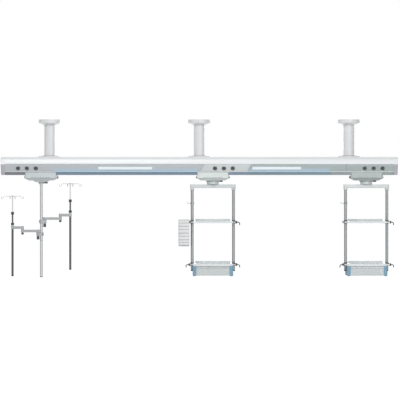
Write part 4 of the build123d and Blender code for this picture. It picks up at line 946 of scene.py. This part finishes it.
for name in RACKS:
    x = station[name]
    front_foot = heights(f"{name}_drawer")[0]
    lock_place = (x + 0.165, FRONT_Y, (FRONT_TOP + front_foot) / 2 + 0.012)
    panel = placed(outline_rect(0.388, 0.072, 0.008), (x, FRONT_Y - 0.0001, front_foot + 0.048),
                   (1, 0, 0), (0, 0, 1))
    parts = [drawn(GRIP + (0, FRONT_TOP), x - GRIP_HALF, x + GRIP_HALF),
             lathe(LOCK, lock_place, (0, -1, 0), 36),
             slab(outline_rect(0.0014, 0.0072, 0.0006), 0.001, 0.0019, 0.0002, upright(-1), lock_place, 1),
             bar(panel, 0.0011, 8, closed=True, kind=2)]
    fit(f"{name}_drawer_grip", parts, [plain_steel, black_plastic, drawer_lacquer], f"{name}_drawer")

    low_z, high_z = heights(f"{name}_corner_posts")
    parts = []
    for sx in (-1, 1):
        for sy in (-1, 1):
            corner_x = x + sx * 0.2305
            parts.append(lathe(FOOT, (corner_x, sy * 0.1775, low_z), steps=32, kind=1))
            for z in (low_z + 0.018, high_z - 0.018):
                parts.append(screw((corner_x, sy * 0.2, z), (0, sy, 0), 0.0034))
    fit(f"{name}_cabinet_feet", parts, [plain_steel, rubber], f"{name}_corner_posts")

    parts = []
    for shelf in SHELVES:
        rail_z = shelf_top[name, shelf] - RAIL_DROP
        for side in (-1, 1):
            for end in (-1, 1):
                for y, low, high in ((0.04, -0.0012, 0.003), (0.172, -0.003, 0.0012)):
                    parts.append(slab(outline_rect(0.0112, 0.0262, 0.0025), low, high, 0.001, upright(end),
                                      (x + side * 0.288, end * y, rail_z)))
                for y in (0.054, 0.158):
                    parts.append(screw((x + side * 0.2932, end * y, rail_z), (side, 0, 0), 0.0038, 1))
    fit(f"{name}_rail_caps", parts, [black_plastic, plain_steel], f"{name}_side_rails")

    post = x - POST_REACH
    parts = [ball((post + dx * 0.058, dy * 0.058, -1.0352), 0.0036) for dx, dy in ((0, 1), (-1, 0), (0, -1))]
    parts.append(screw((post + 0.012, -0.0212, -1.05), (0.5, -1, 0), 0.0036, 1))
    fit(f"{name}_cable_hook_tips", parts, [post_steel, plain_steel], f"{name}_post_hook")

# %% [markdown]
# The basket is bent wire. U-shaped wires run down one side, under the floor and up the other, in both
# directions, and closed hoops tie them together. Each wire is a round bar led along a path with round
# corners, and two flat straps hook it over the rail.

# %% Wire basket
BASKET_WIDTH, BASKET_DEPTH = 0.138, 0.22
right = station["middle"] - 0.2936
left, front, back = right - BASKET_WIDTH, -BASKET_DEPTH / 2, BASKET_DEPTH / 2
foot, rim = heights("side_basket")[0], -1.258


def basket_wire(start, end, floor_z):
    """U-shaped wire from the rim at start, under the floor, to the rim at end, with round corners."""
    corners = [(*start, rim), (*start, floor_z), (*end, floor_z), (*end, rim)]
    return bar(rounded(corners, 0.012), 0.0015, 8)


parts = [basket_wire((left + 0.003, y), (right - 0.003, y), foot + 0.0032)
         for y in np.linspace(front + 0.011, back - 0.011, 16)]
parts += [basket_wire((x, front + 0.003), (x, back - 0.003), foot + 0.0018)
          for x in np.linspace(left + 0.01, right - 0.01, 12)]
hoop_line = outline_rect(BASKET_WIDTH - 0.006, BASKET_DEPTH - 0.006, 0.012, 7)
for z, thick in ((rim, 0.0032), (rim - 0.04, 0.0017), (rim - 0.08, 0.002), (rim - 0.12, 0.0017),
                 (rim - 0.165, 0.0026), (rim - 0.205, 0.0017), (rim - 0.25, 0.002), (rim - 0.285, 0.0017),
                 (foot + 0.012, 0.002)):
    parts.append(bar(placed(hoop_line, ((left + right) / 2, 0, z)), thick, 10, closed=True))
strap = np.array([(-0.003, -1.29), (-0.003, -1.269), (-0.0008, -1.2672), (0.0106, -1.2672),
                  (0.0128, -1.269), (0.0128, -1.287)]) + (right, 0)
inner = strap + np.array([(0.0018, 0), (0.0018, -0.0004), (0.0012, -0.0022), (-0.0012, -0.0022),
                          (-0.0018, -0.0004), (-0.0018, 0)])
section = np.concatenate([strap, inner[::-1]])
count = len(section)
k = np.arange(5)
caps = np.stack([k, k + 1, count - 2 - k, count - 1 - k], 1)
for y in (-0.106, 0.106):
    points = np.concatenate([placed(section, (0, y + w, 0), (1, 0, 0), (0, 0, 1)) for w in (-0.012, 0.012)])
    parts.append((points, [grid_faces(2, count), caps, caps[:, ::-1] + count], 0))
fit("wire_basket", parts, [basket_coat], "side_basket", instead=True)

# %% [markdown]
# The floor lies 2.7 m under the ceiling and is wide enough that its edge never shows. It is pure white
# to the camera where nothing shades it, and pale grey to the lamps.

# %% Floor
FLOOR_Z, FLOOR_RADIUS = -2.7, 90.0
disc = placed(FLOOR_RADIUS * unit_circle(96), (0, 0, FLOOR_Z))
floor_material = bpy.data.materials.new("floor_white")
tree = node_tree(floor_material)
matt = add(tree, "BsdfDiffuse", {"Color": (0.82, 0.83, 0.84, 1)})
shown = add(tree, "Emission", {"Color": (1, 1, 1, 1), "Strength": 0.7})
both = add(tree, "AddShader", {0: matt.outputs[0], 1: shown.outputs[0]})
lit_or_seen(tree, matt, both, "OutputMaterial")
floor_mesh = bpy.data.meshes.new("floor")
floor_mesh.from_pydata(disc.tolist(), [], [list(range(96))])
floor_mesh.materials.append(floor_material)
floor = bpy.data.objects.new("floor", floor_mesh)
scene.collection.objects.link(floor)
print("floor at", FLOOR_Z, "m")
